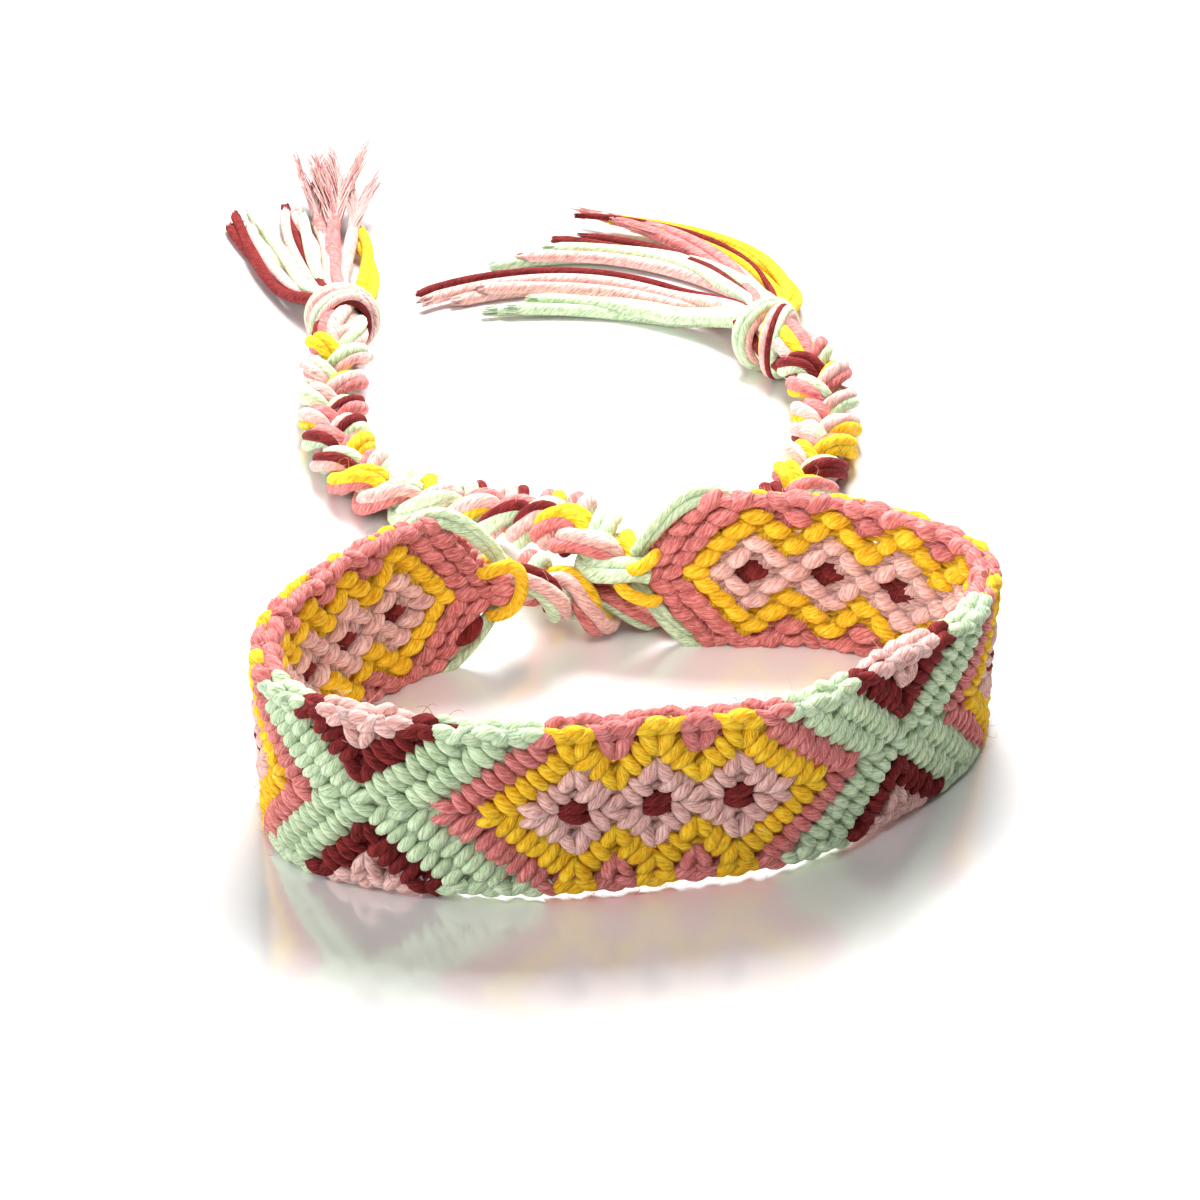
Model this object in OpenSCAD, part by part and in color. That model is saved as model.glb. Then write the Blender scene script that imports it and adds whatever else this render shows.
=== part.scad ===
// Friendship bracelet: a flat knotted band that stands on its edge in an open ring. A braid of
// three strands runs from each pointed end of the band to an overhand knot and a loose tassel.
// The origin is on the surface in the middle of the ring, +Z is up and +Y is away from the front.

/* [Knotted band] */
// Width of the ring, between the middles of its walls
ring_w = 58; // [52:1:68]
// Depth of the ring from front to back, between the middles of its walls
ring_d = 38.4; // [35:0.2:46]
// Height of the band from edge to edge
band_h = 15; // [13:0.5:18]
// Thickness of the knotted band
band_t = 2.4; // [1.8:0.1:2.8]
// Height of the band where it ends in a point
tip_h = 3.2; // [2.6:0.1:4.4]
// Length over which each end of the band narrows to its point
taper_len = 6.5; // [5:0.5:10]
// Depth of the dips between the edge loops
scallop_h = 0.4; // [0.1:0.05:0.7]

/* [Braided ties] */
// Length of the braid from the band's left end to its knot
left_braid_len = 69; // [60:1:72]
// Length of the braid from the band's right end to its knot
right_braid_len = 68; // [60:1:72]
// Diameter of one strand of four threads
strand_d = 1.8; // [1.6:0.05:1.85]
// Width of the finished braid
braid_w = 6.5; // [6.3:0.1:7.4]
// Thickness of the finished braid
braid_t = 4.5; // [4.4:0.1:5]
// Length of braid in which a strand comes back to the same side
braid_pitch = 14.4; // [14:0.1:17]

/* [Knots and tassels] */
// Diameter of each overhand knot
knot_d = 8.2; // [7.4:0.1:9.4]
// Length of each knot along the braid
knot_len = 6.6; // [6:0.1:8]
// Thickness of the bundle that is wound round the knot
wrap_d = 2.5; // [2:0.1:2.8]
// Length of the tassels from the knot to the tips of most threads
tassel_len = 44; // [32:1:50]
// Thickness of one lock of threads in a tassel
lock_d = 2.2; // [1.6:0.1:2.6]

/* [Fit] */
// Gap between pieces that meet end to end
gap = 0.3; // [0.15:0.05:0.5]

/* [Hidden] */

// Colours of the yarn
MINT = [0.66, 0.82, 0.70];
ROSE = [0.78, 0.42, 0.47];
PALE_PINK = [0.88, 0.72, 0.72];
YELLOW = [0.94, 0.75, 0.13];
DARK_RED = [0.55, 0.14, 0.15];

// The band's plan, one row every 7 half knots from the left tip to the right one:
// x and y as shares of half the ring's width and depth, the lower edge's lift and
// the height of the band as shares of band_h
BAND_ROWS = [
    [-0.39,  0.81, 0.00, 0.96],
    [-0.62,  0.70, 0.00, 0.96],
    [-0.84,  0.31, 0.00, 0.96],
    [-0.96, -0.16, 0.00, 0.98],
    [-0.91, -0.65, 0.00, 1.00],
    [-0.68, -0.88, 0.01, 1.00],
    [-0.32, -0.98, 0.05, 0.94],
    [ 0.03, -0.92, 0.06, 0.95],
    [ 0.38, -0.79, 0.07, 0.92],
    [ 0.65, -0.46, 0.03, 1.00],
    [ 0.88, -0.03, 0.00, 0.96],
    [ 0.93,  0.48, 0.00, 0.96],
    [ 0.63,  0.91, 0.00, 0.95],
    [ 0.25,  0.97, 0.00, 0.96],
    [ 0.01,  0.96, 0.00, 0.96]
];
HALF_KNOTS_PER_ROW = 7;
SECTIONS_PER_HALF_KNOT = 2;
BAND_SPANS = len(BAND_ROWS) - 1;
BAND_SECTIONS = BAND_SPANS * HALF_KNOTS_PER_ROW * SECTIONS_PER_HALF_KNOT;

// One section of the band, from the lower edge round: share of the thickness, share of the height
BAND_SECTION = [
    [-0.26, 0.00], [0.26, 0.00],
    [0.46, 0.06], [0.50, 0.27], [0.47, 0.50], [0.50, 0.73], [0.46, 0.94],
    [0.26, 1.00], [-0.26, 1.00],
    [-0.46, 0.94], [-0.50, 0.73], [-0.47, 0.50], [-0.50, 0.27], [-0.46, 0.06]
];

// Routes of the two ties after the band's tip: x and y as shares of half the ring's width and
// depth, and the height of the braid's middle as a share of its thickness
LEFT_TIE_ROUTE = [
    [-0.30, 0.89, 1.50], [-0.18, 1.01, 0.88], [-0.05, 1.11, 0.53], [0.13, 1.29, 0.52],
    [0.33, 1.60, 0.52], [0.48, 2.02, 0.52], [0.60, 2.48, 0.52], [0.66, 2.86, 0.52],
    [0.68, 3.24, 0.52], [0.65, 3.60, 0.52], [0.54, 3.90, 0.52], [0.38, 4.18, 0.52],
    [0.20, 4.50, 0.52]
];
RIGHT_TIE_ROUTE = [
    [-0.07, 1.01, 1.72], [-0.13, 1.16, 1.84], [-0.19, 1.36, 1.70], [-0.28, 1.59, 1.28],
    [-0.45, 1.84, 0.92], [-0.64, 2.04, 0.66], [-0.80, 2.24, 0.54], [-0.92, 2.50, 0.52],
    [-1.00, 2.86, 0.52], [-1.04, 3.30, 0.52], [-1.05, 3.75, 0.52], [-1.06, 4.20, 0.52],
    [-1.08, 4.80, 0.52]
];

// Locks of the tassels: turn from the knot's line at the root and at the end, length as a share
// of tassel_len, thickness as a share of lock_d, and rise of the end as a share of knot_d
LEFT_TIE_LOCKS = [
    [-36, 108, 1.22, 0.85, 0.0],
    [-22, 102, 1.08, 1.10, 0.0],
    [-4, 79, 0.78, 1.10, 0.0],
    [-54, 92, 1.20, 1.10, 0.0],
    [-48, 54, 1.06, 1.00, 0.0],
    [-48, 42, 1.20, 1.00, 0.1],
    [-66, 60, 1.22, 1.00, 0.1]
];
RIGHT_TIE_LOCKS = [
    [36, 10, 0.96, 0.90, 0.0],
    [26, 15, 0.96, 1.10, 0.0],
    [19, 7, 1.00, 0.90, 0.0],
    [8, 16, 0.88, 1.10, 0.1],
    [4, 14, 1.14, 1.15, 0.4],
    [7, -3, 1.04, 1.15, 0.5],
    [-13, 15, 0.68, 1.00, 0.1]
];

// Shares that shape the braid's wave, so that round strands pass each other without touching
WAVE_CORNER = 0.17;
WAVE_SLIDE = 0.053;
// Room that a strand's slanting end face needs before the next piece, as a share of its diameter
END_FACE_SHARE = 0.45;
// Phases at which the braid's three strands start
STRAND_PHASES = [90, 210, 330];
// Sides and rings of the strands and locks, and steps between two rows of a route
STRAND_SIDES = 6;
RINGS_PER_PITCH = 13;
LOCK_SIDES = 6;
LOCK_RINGS = 8;
ROUTE_STEPS = 8;

// Catmull-Rom curve through four points, at a share t of the way from the second to the third
function curve(a, b, c, d, t) =
    0.5 * (2 * b + (c - a) * t + (2 * a - 5 * b + 4 * c - d) * t * t
           + (3 * b - a - 3 * c + d) * t * t * t);

// Row of a table at a place between its rows, counted from 0
function along(rows, place) =
    let (
        last = len(rows) - 1,
        i = max(0, min(last - 1, floor(place))),
        before = i == 0 ? 2 * rows[0] - rows[1] : rows[i - 1],
        after = i + 2 > last ? 2 * rows[last] - rows[last - 1] : rows[i + 2]
    )
    curve(before, rows[i], rows[i + 1], after, place - i);

function unit(v) = v / norm(v);
function smooth(t) = let (c = max(0, min(1, t))) c * c * (3 - 2 * c);

// Points of a swept surface: the section's points [side, up] on each stop [point, side, up]
function swept_points(stops, sections) = [
    for (i = [0:len(stops) - 1])
        for (p = sections[i]) stops[i][0] + p[0] * stops[i][1] + p[1] * stops[i][2]
];

// Triangles of a swept surface with n points in each of its rings, closed at both ends
function swept_faces(rings, n) = concat(
    [for (i = [0:rings - 2]) for (j = [0:n - 1]) let (k = (j + 1) % n)
        each [[i * n + j, (i + 1) * n + k, (i + 1) * n + j], [i * n + j, i * n + k, (i + 1) * n + k]]],
    [for (j = [1:n - 2]) [0, j + 1, j]],
    [for (j = [1:n - 2]) let (e = (rings - 1) * n) [e, e + j, e + j + 1]]
);

module swept(stops, sections) {
    polyhedron(
        points = swept_points(stops, sections),
        faces = swept_faces(len(stops), len(sections[0]))
    );
}

// Round section with an even number of sides
function round_section(d, sides) = [
    for (j = [0:sides - 1]) let (a = 360 * (j + 0.5) / sides) d / 2 * [cos(a), sin(a)]
];

// Stops along a list of points: the point, the side direction and the direction above it
function stops_along(points) = [
    for (i = [0:len(points) - 1])
        let (
            ahead = unit(points[min(i + 1, len(points) - 1)] - points[max(i - 1, 0)]),
            side = unit(cross(ahead, [0, 0, 1]))
        )
        [points[i], side, cross(side, ahead)]
];

// Band: its middle in plan, and the heights of both edges, at a number of half knots from the left tip
function band_row(half_knot) = along(BAND_ROWS, half_knot / HALF_KNOTS_PER_ROW);
function band_plan(half_knot) =
    let (r = band_row(half_knot)) [r[0] * ring_w / 2, r[1] * ring_d / 2];

BAND_PLAN = [
    for (i = [0:BAND_SECTIONS]) let (p = band_plan(i / SECTIONS_PER_HALF_KNOT)) [p[0], p[1], 0]
];
function path_lengths(points, i = 0, sum = 0) =
    i == len(points) - 1 ? [sum]
    : concat([sum], path_lengths(points, i + 1, sum + norm(points[i + 1] - points[i])));
BAND_LENGTHS = path_lengths(BAND_PLAN);
BAND_LENGTH = BAND_LENGTHS[BAND_SECTIONS];

// Shares of the band's thickness at its narrow ends, and between the edge loops
END_THICKNESS_SHARE = 0.9;
DIP_THICKNESS_SHARE = 0.93;

// Edge loops stand proud on two sections of every four
function dip(i) = (i % 4) < 2 ? scallop_h : 0;
function taper(i) = min(1, min(BAND_LENGTHS[i], BAND_LENGTH - BAND_LENGTHS[i]) / taper_len);

// Section of the band at a stop, upright about the middle of its height
function band_section(i) =
    let (
        row = band_row(i / SECTIONS_PER_HALF_KNOT),
        low = max(0, row[2]) * band_h,
        full = row[3] * band_h,
        middle = low + full / 2,
        share = taper(i),
        half = tip_h / 2 + (full / 2 - tip_h / 2) * share - dip(i) * share,
        thick = band_t * (share < 1 ? END_THICKNESS_SHARE : dip(i) > 0 ? DIP_THICKNESS_SHARE : 1)
    )
    [for (p = BAND_SECTION) [p[0] * thick, middle + (2 * p[1] - 1) * half]];

module knotted_band() {
    plan_stops = [for (s = stops_along(BAND_PLAN)) [s[0], s[1], [0, 0, 1]]];
    color(ROSE) swept(plan_stops, [for (i = [0:BAND_SECTIONS]) band_section(i)]);
}

// Middle of the band's end faces
function tip_point(end) =
    let (row = BAND_ROWS[end == "left" ? 0 : BAND_SPANS], p = BAND_PLAN[end == "left" ? 0 : BAND_SECTIONS])
    [p[0], p[1], (max(0, row[2]) + row[3] / 2) * band_h];

// Route of a tie as close points, from the band's tip to past the knot
function route_rows(end, rows) =
    concat([tip_point(end)], [for (r = rows) [r[0] * ring_w / 2, r[1] * ring_d / 2, r[2] * braid_t]]);
function route_points(end, rows) =
    let (r = route_rows(end, rows)) [for (i = [0:(len(r) - 1) * ROUTE_STEPS]) along(r, i / ROUTE_STEPS)];

// Route as a table for lookup: length from the tip, then x, y and z at it
function route_table(points) =
    let (lengths = path_lengths(points))
    [for (k = [0:2]) [for (i = [0:len(points) - 1]) [lengths[i], points[i][k]]]];
// A tie: its route's table, then the length of its braid
LEFT_TIE = concat(route_table(route_points("left", LEFT_TIE_ROUTE)), left_braid_len);
RIGHT_TIE = concat(route_table(route_points("right", RIGHT_TIE_ROUTE)), right_braid_len);
function braid_len(tie) = tie[3];

// Point of a tie at a length from the tip. Over the last stretch of the braid, it climbs to the
// middle of the knot, which is thicker.
KNOT_RISE_LEN = 14;
function tie_point(tie, s) =
    let (
        rise = smooth((s - braid_len(tie) + KNOT_RISE_LEN) / KNOT_RISE_LEN),
        z = lookup(s, tie[2])
    )
    [lookup(s, tie[0]), lookup(s, tie[1]), z + (knot_d / 2 - z) * rise];
// Half the length of route over which its direction is taken
DIRECTION_REACH = 0.8;
function tie_ahead(tie, s) =
    unit(tie_point(tie, s + DIRECTION_REACH) - tie_point(tie, s - DIRECTION_REACH));

// Wave of the braid: how far strand centres swing to the side and up, at a phase
SWING = (braid_w - strand_d) / 2 / (1 + WAVE_CORNER);
LIFT = (braid_t - strand_d) / 2;
SLIDE = WAVE_SLIDE * braid_pitch;
END_GAP = gap + strand_d * END_FACE_SHARE;
function strand_phase(s, number) = 360 * s / braid_pitch + STRAND_PHASES[number - 1];
function strand_point(tie, s, number) =
    let (
        u = strand_phase(s, number),
        place = END_GAP + s - SLIDE * sin(2 * u),
        ahead = tie_ahead(tie, max(DIRECTION_REACH, place)),
        side = unit(cross([0, 0, 1], ahead)),
        above = cross(ahead, side)
    )
    tie_point(tie, place) + side * SWING * (sin(u) - WAVE_CORNER * sin(3 * u)) + above * LIFT * sin(2 * u);

// Each strand starts and ends level with the other two
function strand_reach(s, number) = s + SLIDE * sin(2 * strand_phase(s, number));

module strand(tie, number) {
    rings = ceil(braid_len(tie) / braid_pitch * RINGS_PER_PITCH);
    first = strand_reach(0, number);
    last = strand_reach(braid_len(tie), number);
    points = [for (i = [0:rings]) strand_point(tie, first + (last - first) * i / rings, number)];
    section = round_section(strand_d, STRAND_SIDES);
    swept(stops_along(points), [for (p = points) section]);
}

// Places what is drawn along +X where a tie's braid ends
module past_braid(tie) {
    start = braid_len(tie) + 2 * END_GAP;
    a = tie_ahead(tie, start);
    p = tie_point(tie, start);
    translate([p[0], p[1], knot_d / 2]) rotate([0, 0, atan2(a[1], a[0])]) children();
}

// Overhand knot along +X: a core, a collar on the tassel's side and a slanting wrap on the braid's
WRAP_SLANT = 38;
// Middle of the slanting wrap, so that its near side is level with the core's end
WRAP_MIDDLE = (knot_d - wrap_d) / 2 * sin(WRAP_SLANT) + wrap_d / 2;
module wrap(d) {
    rotate([0, 90, 0])
        rotate_extrude($fn = 48)
            translate([(d - wrap_d) / 2, 0]) circle(d = wrap_d, $fn = 24);
}
module overhand_knot() {
    rotate([0, 90, 0]) cylinder(d = knot_d - wrap_d, h = knot_len, $fn = 48);
    translate([knot_len - wrap_d / 2, 0, 0]) wrap(knot_d);
    translate([WRAP_MIDDLE, 0, 0]) rotate([0, 0, WRAP_SLANT]) wrap(knot_d);
}

// Tassel along +X from the knot: a head, and locks that come down on the surface over a share of
// their length
HEAD_LEN = 2.4;
HEAD_D = 5;
HEAD_END_D = 4;
LOCK_DROP_SHARE = 0.4;

// Middle of a lock, which bends evenly in plan, at a share of its length
function lock_point(row, t) =
    let (
        size = tassel_len * row[2],
        bend = row[1] - row[0],
        turn = row[0] + bend * t / 2,
        chord = size * t * (abs(bend * t) < 1 ? 1 : sin(bend * t / 2) / (bend * t / 2 * PI / 180)),
        rest = (lock_d * row[3] - knot_d) / 2
    )
    [HEAD_LEN / 2 + chord * cos(turn), chord * sin(turn),
     rest * smooth(t / LOCK_DROP_SHARE) + row[4] * knot_d * t * t];

// Thickness of a lock at a share of its length, which is less towards both ends
LOCK_END_SHARE = 0.7;
LOCK_NARROW_LEN = 0.1;
function lock_share(t) =
    LOCK_END_SHARE + (1 - LOCK_END_SHARE) * min(1, min(t, 1 - t) / LOCK_NARROW_LEN);

module bead(d) { sphere(d = d, $fn = LOCK_SIDES); }
module tassel(rows) {
    rotate([0, 90, 0]) cylinder(d1 = HEAD_D, d2 = HEAD_END_D, h = HEAD_LEN, $fn = 24);
    for (row = rows) {
        for (i = [0:LOCK_RINGS - 1]) {
            from = i / LOCK_RINGS;
            to = (i + 1) / LOCK_RINGS;
            hull() {
                translate(lock_point(row, from)) bead(lock_d * row[3] * lock_share(from));
                translate(lock_point(row, to)) bead(lock_d * row[3] * lock_share(to));
            }
        }
    }
}
module tassel_past_knot(tie, rows) {
    past_braid(tie) translate([knot_len + gap, 0, 0]) tassel(rows);
}

module left_tie_strand_1() { color(MINT) strand(LEFT_TIE, 1); }
module left_tie_strand_2() { color(YELLOW) strand(LEFT_TIE, 2); }
module left_tie_strand_3() { color(PALE_PINK) strand(LEFT_TIE, 3); }
module left_tie_knot() { color(MINT) past_braid(LEFT_TIE) overhand_knot(); }
module left_tie_tassel() { color(DARK_RED) tassel_past_knot(LEFT_TIE, LEFT_TIE_LOCKS); }
module right_tie_strand_1() { color(MINT) strand(RIGHT_TIE, 1); }
module right_tie_strand_2() { color(YELLOW) strand(RIGHT_TIE, 2); }
module right_tie_strand_3() { color(PALE_PINK) strand(RIGHT_TIE, 3); }
module right_tie_knot() { color(PALE_PINK) past_braid(RIGHT_TIE) overhand_knot(); }
module right_tie_tassel() { color(PALE_PINK) tassel_past_knot(RIGHT_TIE, RIGHT_TIE_LOCKS); }

knotted_band();
left_tie_strand_1();
left_tie_strand_2();
left_tie_strand_3();
left_tie_knot();
left_tie_tassel();
right_tie_strand_1();
right_tie_strand_2();
right_tie_strand_3();
right_tie_knot();
right_tie_tassel();
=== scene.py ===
"""Friendship bracelet: the knots, threads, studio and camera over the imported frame.

Sizes are in millimetres, in the frame of the part: the origin is on the surface in the middle
of the ring, +Z is up and +Y is away from the front. Meshes are made in metres.
"""
from __future__ import annotations

import logging
import math
from collections.abc import Iterator
from dataclasses import dataclass, field
from enum import Enum
from typing import ClassVar

import bpy
import numpy as np
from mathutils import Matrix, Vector

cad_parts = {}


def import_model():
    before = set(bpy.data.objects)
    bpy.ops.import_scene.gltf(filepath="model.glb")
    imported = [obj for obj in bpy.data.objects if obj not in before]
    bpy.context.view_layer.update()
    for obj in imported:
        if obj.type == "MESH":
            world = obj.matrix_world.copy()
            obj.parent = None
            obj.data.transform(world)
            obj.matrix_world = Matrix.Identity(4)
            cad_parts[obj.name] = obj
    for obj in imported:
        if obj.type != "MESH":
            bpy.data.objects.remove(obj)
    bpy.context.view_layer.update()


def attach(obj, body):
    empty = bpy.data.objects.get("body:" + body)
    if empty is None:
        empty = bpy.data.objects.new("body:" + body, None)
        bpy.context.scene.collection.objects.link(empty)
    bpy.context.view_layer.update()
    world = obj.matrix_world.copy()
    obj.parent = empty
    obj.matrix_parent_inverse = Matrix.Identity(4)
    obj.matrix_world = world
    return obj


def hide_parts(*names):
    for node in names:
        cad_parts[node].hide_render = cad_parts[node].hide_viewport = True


LOG = logging.getLogger("bracelet")
MM = 0.001
UP = np.array([0.0, 0.0, 1.0])
# Least distance of a thread from the floor
CLEARANCE = 0.03
# Sides of a thread in the band and in the ties, of a frayed fibre and of a stray one
BAND_SIDES = 8
TIE_SIDES = 10
FRAYED_SIDES = 4
STRAY_SIDES = 3
# One number or an array of them, and a short table
Numbers = np.ndarray | float
Rows = tuple[tuple[float, ...], ...]


class Yarn(Enum):
    """The five yarns of the bracelet. Each value is the yarn's material slot in the record."""

    ROSE = "rose_yarn"
    MINT = "mint_yarn"
    YELLOW = "yellow_yarn"
    PALE_PINK = "pale_pink_yarn"
    DARK_RED = "dark_red_yarn"


class KnotFace(Enum):
    """The two faces of the band. Each value is the side of the band's middle that the face is on."""

    OUTER = 1
    INNER = -1


class NodeMaker:
    """Adds nodes to a tree, and links or sets their inputs."""

    def __init__(self, tree: bpy.types.NodeTree) -> None:
        """Keeps the tree that the nodes go into."""
        self.tree = tree

    def node(
        self, kind: str, inputs: dict[str | int, object] | None = None, **settings: object
    ) -> bpy.types.Node:
        """Adds a node.

        Args:
            kind: Blender's name of the node's type.
            inputs: For its inputs, by name or number: a socket to link, or a value.
            **settings: Properties to set on it.

        Returns:
            The new node.
        """
        made = self.tree.nodes.new(kind)
        for key, value in settings.items():
            setattr(made, key, value)
        for key, value in (inputs or {}).items():
            self.feed(value, made.inputs[key])
        return made

    def feed(self, source: object, target: bpy.types.NodeSocket) -> None:
        """Links a socket to an input, or sets a plain value on it.

        Args:
            source: The socket or the value.
            target: The input.
        """
        if isinstance(source, bpy.types.NodeSocket):
            self.tree.links.new(source, target)
        else:
            target.default_value = source

    def math(self, operation: str, first: object, second: object) -> bpy.types.NodeSocket:
        """Adds a math node of two sockets or numbers, and gives its result."""
        return self.node("ShaderNodeMath", {0: first, 1: second}, operation=operation).outputs[0]

    def attribute(self, name: str, output: str) -> bpy.types.NodeSocket:
        """Adds a shader node that reads an attribute of the threads, and gives one output."""
        return self.node("ShaderNodeAttribute", attribute_name=name).outputs[output]

    def spot(self) -> bpy.types.NodeSocket:
        """Adds a shader node that gives the place on the object."""
        return self.node("ShaderNodeTexCoord").outputs["Object"]

    def ramp(
        self, fac: bpy.types.NodeSocket, stops: tuple[tuple[float, tuple[float, ...]], ...]
    ) -> bpy.types.NodeSocket:
        """Adds a colour ramp.

        Args:
            fac: What it reads.
            stops: Place and linear colour of each stop, in order.

        Returns:
            The colour's socket.
        """
        made = self.node("ShaderNodeValToRGB", {"Fac": fac})
        elements = made.color_ramp.elements
        while len(elements) < len(stops):
            elements.new(0.5)
        for element, (place, colour) in zip(elements, stops):
            element.position = place
            element.color = (*colour, 1.0)
        return made.outputs["Color"]


@dataclass(frozen=True)
class YarnFinish:
    """Soft cotton yarn: fine fibres along the thread, a slow twist, and a fuzzy sheen.

    Attributes:
        yarn: The yarn that the finish is for.
        body: Linear colour of the yarn in even light.
        shade: Linear colour of the furrows between its fibres, a painted shade.
        tip: Linear colour of the fibres that stand proud, a painted highlight that also tints the sheen.
        twist: Turn of the fibres round the thread, in radians a metre.
        fibre_run: How fast the fibres change along the thread, in noise units a metre.
        fibre_scale: Scale of the fibres' noise round the thread.
        patch_scale: Scale of the slow patches of brightness, a metre.
        tint_shift: How far a thread's tint moves its fibres along the noise.
        tint_lift: How much a thread's tint brightens it, or darkens it as painted shade where the tint
            is below zero.
        patch_lift: How much the patches brighten it.
        darkest: Brightness where neither does.
        bump_depth: Depth of the furrows in millimetres.
    """

    yarn: Yarn
    body: tuple[float, float, float]
    shade: tuple[float, float, float]
    tip: tuple[float, float, float]
    twist: float = 1250.0
    fibre_run: float = 420.0
    fibre_scale: float = 3.4
    patch_scale: float = 520.0
    tint_shift: float = 17.0
    tint_lift: float = 0.16
    patch_lift: float = 0.24
    darkest: float = 0.80
    bump_depth: float = 0.14

    # A dull, fuzzy surface that lets a little light through the yarn
    SURFACE: ClassVar[dict[str, float | tuple[float, ...]]] = {
        "Roughness": 0.88,
        "Specular IOR Level": 0.25,
        "Sheen Weight": 0.35,
        "Sheen Roughness": 0.55,
        "Subsurface Weight": 0.45,
        "Subsurface Radius": (1.0, 0.75, 0.60),
        "Subsurface Scale": 0.8 * MM,
    }
    # Where in the fibres' noise the painted shade of the furrows, the yarn's own colour and the painted
    # highlight of the tips lie
    STOPS: ClassVar[tuple[float, ...]] = (0.34, 0.50, 0.66)

    def material(self) -> bpy.types.Material:
        """Builds the yarn's material.

        Returns:
            The material, which reads the attributes along, round and tint of the threads.
        """
        made = bpy.data.materials.new(self.yarn.value)
        made.use_nodes = True
        maker = NodeMaker(made.node_tree)
        shader = made.node_tree.nodes["Principled BSDF"]
        for name, value in self.SURFACE.items():
            maker.feed(value, shader.inputs[name])
        maker.feed((*self.tip, 1.0), shader.inputs["Sheen Tint"])

        along = maker.attribute("along", "Fac")
        tint = maker.attribute("tint", "Fac")
        turned = maker.node(
            "ShaderNodeVectorRotate",
            {"Vector": maker.attribute("round", "Vector")},
            rotation_type="Z_AXIS",
        )
        maker.feed(maker.math("MULTIPLY", along, self.twist), turned.inputs["Angle"])
        run = maker.math("MULTIPLY", along, self.fibre_run)
        shift = maker.math("MULTIPLY", tint, self.tint_shift)
        step = maker.node("ShaderNodeCombineXYZ", {"Z": maker.math("ADD", run, shift)})
        where = maker.node(
            "ShaderNodeVectorMath",
            {0: turned.outputs["Vector"], 1: step.outputs["Vector"]},
            operation="ADD",
        ).outputs["Vector"]
        fibres = maker.node(
            "ShaderNodeTexNoise",
            {"Vector": where, "Scale": self.fibre_scale, "Detail": 4.0, "Roughness": 0.62},
        ).outputs["Fac"]
        patches = maker.node(
            "ShaderNodeTexNoise", {"Vector": maker.spot(), "Scale": self.patch_scale, "Detail": 2.0}
        ).outputs["Fac"]

        # Painted shade in the furrows and painted highlight on the proud fibres, following the noise
        # that also makes the bump
        colours = (self.shade, self.body, self.tip)
        colour = maker.ramp(fibres, tuple(zip(self.STOPS, colours)))
        lift = maker.math("MULTIPLY", tint, self.tint_lift)
        cloud = maker.math("MULTIPLY", patches, self.patch_lift)
        bright = maker.math("ADD", maker.math("ADD", lift, cloud), self.darkest)
        uneven = maker.node("ShaderNodeHueSaturation", {"Color": colour, "Value": bright})
        maker.feed(uneven.outputs["Color"], shader.inputs["Base Color"])
        bump = maker.node(
            "ShaderNodeBump",
            {"Height": fibres, "Strength": 0.7, "Distance": self.bump_depth * MM},
        )
        maker.feed(bump.outputs["Normal"], shader.inputs["Normal"])
        return made


# For each yarn its own colour, the painted shade of its furrows and the painted highlight of its fibres'
# tips
FINISHES = (
    YarnFinish(Yarn.ROSE, (0.58, 0.165, 0.155), (0.34, 0.070, 0.065), (0.78, 0.33, 0.31)),
    YarnFinish(Yarn.MINT, (0.51, 0.65, 0.41), (0.27, 0.38, 0.20), (0.74, 0.82, 0.62)),
    YarnFinish(Yarn.YELLOW, (0.86, 0.48, 0.013), (0.55, 0.24, 0.004), (0.96, 0.68, 0.07)),
    YarnFinish(Yarn.PALE_PINK, (0.74, 0.41, 0.37), (0.44, 0.20, 0.18), (0.90, 0.66, 0.60)),
    YarnFinish(Yarn.DARK_RED, (0.14, 0.010, 0.010), (0.06, 0.003, 0.004), (0.27, 0.028, 0.026)),
)


@dataclass(frozen=True)
class FloorFinish:
    """White floor with a faint gloss and a little mottling.

    Attributes:
        colour: Linear colour of the floor.
        mottling: How much darker its darkest clouds are.
        roughness: Roughness of its gloss.
        ior: Strength of its gloss, as an index of refraction.
    """

    colour: tuple[float, float, float] = (0.93, 0.925, 0.925)
    mottling: float = 0.015
    roughness: float = 0.13
    ior: float = 3.5

    def material(self) -> bpy.types.Material:
        """Builds the floor's material.

        Returns:
            The material.
        """
        made = bpy.data.materials.new("pale_floor")
        made.use_nodes = True
        maker = NodeMaker(made.node_tree)
        shader = made.node_tree.nodes["Principled BSDF"]
        maker.feed(self.roughness, shader.inputs["Roughness"])
        maker.feed(self.ior, shader.inputs["IOR"])
        clouds = maker.node("ShaderNodeTexNoise", {"Vector": maker.spot(), "Scale": 6.0})
        low = tuple(part - self.mottling for part in self.colour)
        colour = maker.ramp(clouds.outputs["Fac"], ((0.0, low), (1.0, self.colour)))
        maker.feed(colour, shader.inputs["Base Color"])
        return made


def unit(v: np.ndarray) -> np.ndarray:
    """Scales one vector, or one in each row, to length 1."""
    return v / np.maximum(np.linalg.norm(v, axis=-1, keepdims=True), 1e-12)


def smooth(t: Numbers) -> Numbers:
    """Eases from 0 to 1 while t goes from 0 to 1."""
    c = np.clip(t, 0.0, 1.0)
    return c * c * (3 - 2 * c)


def eased(place: Numbers, start: float, *ramps: tuple[float, ...]) -> Numbers:
    """A value that changes smoothly along a path.

    Args:
        place: Places along the path.
        start: The value where it starts.
        *ramps: For each change, where it begins, its length and its amount.

    Returns:
        The value at each place.
    """
    value = start
    for begin, length, amount in ramps:
        value = value + amount * smooth((place - begin) / length)
    return value


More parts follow.
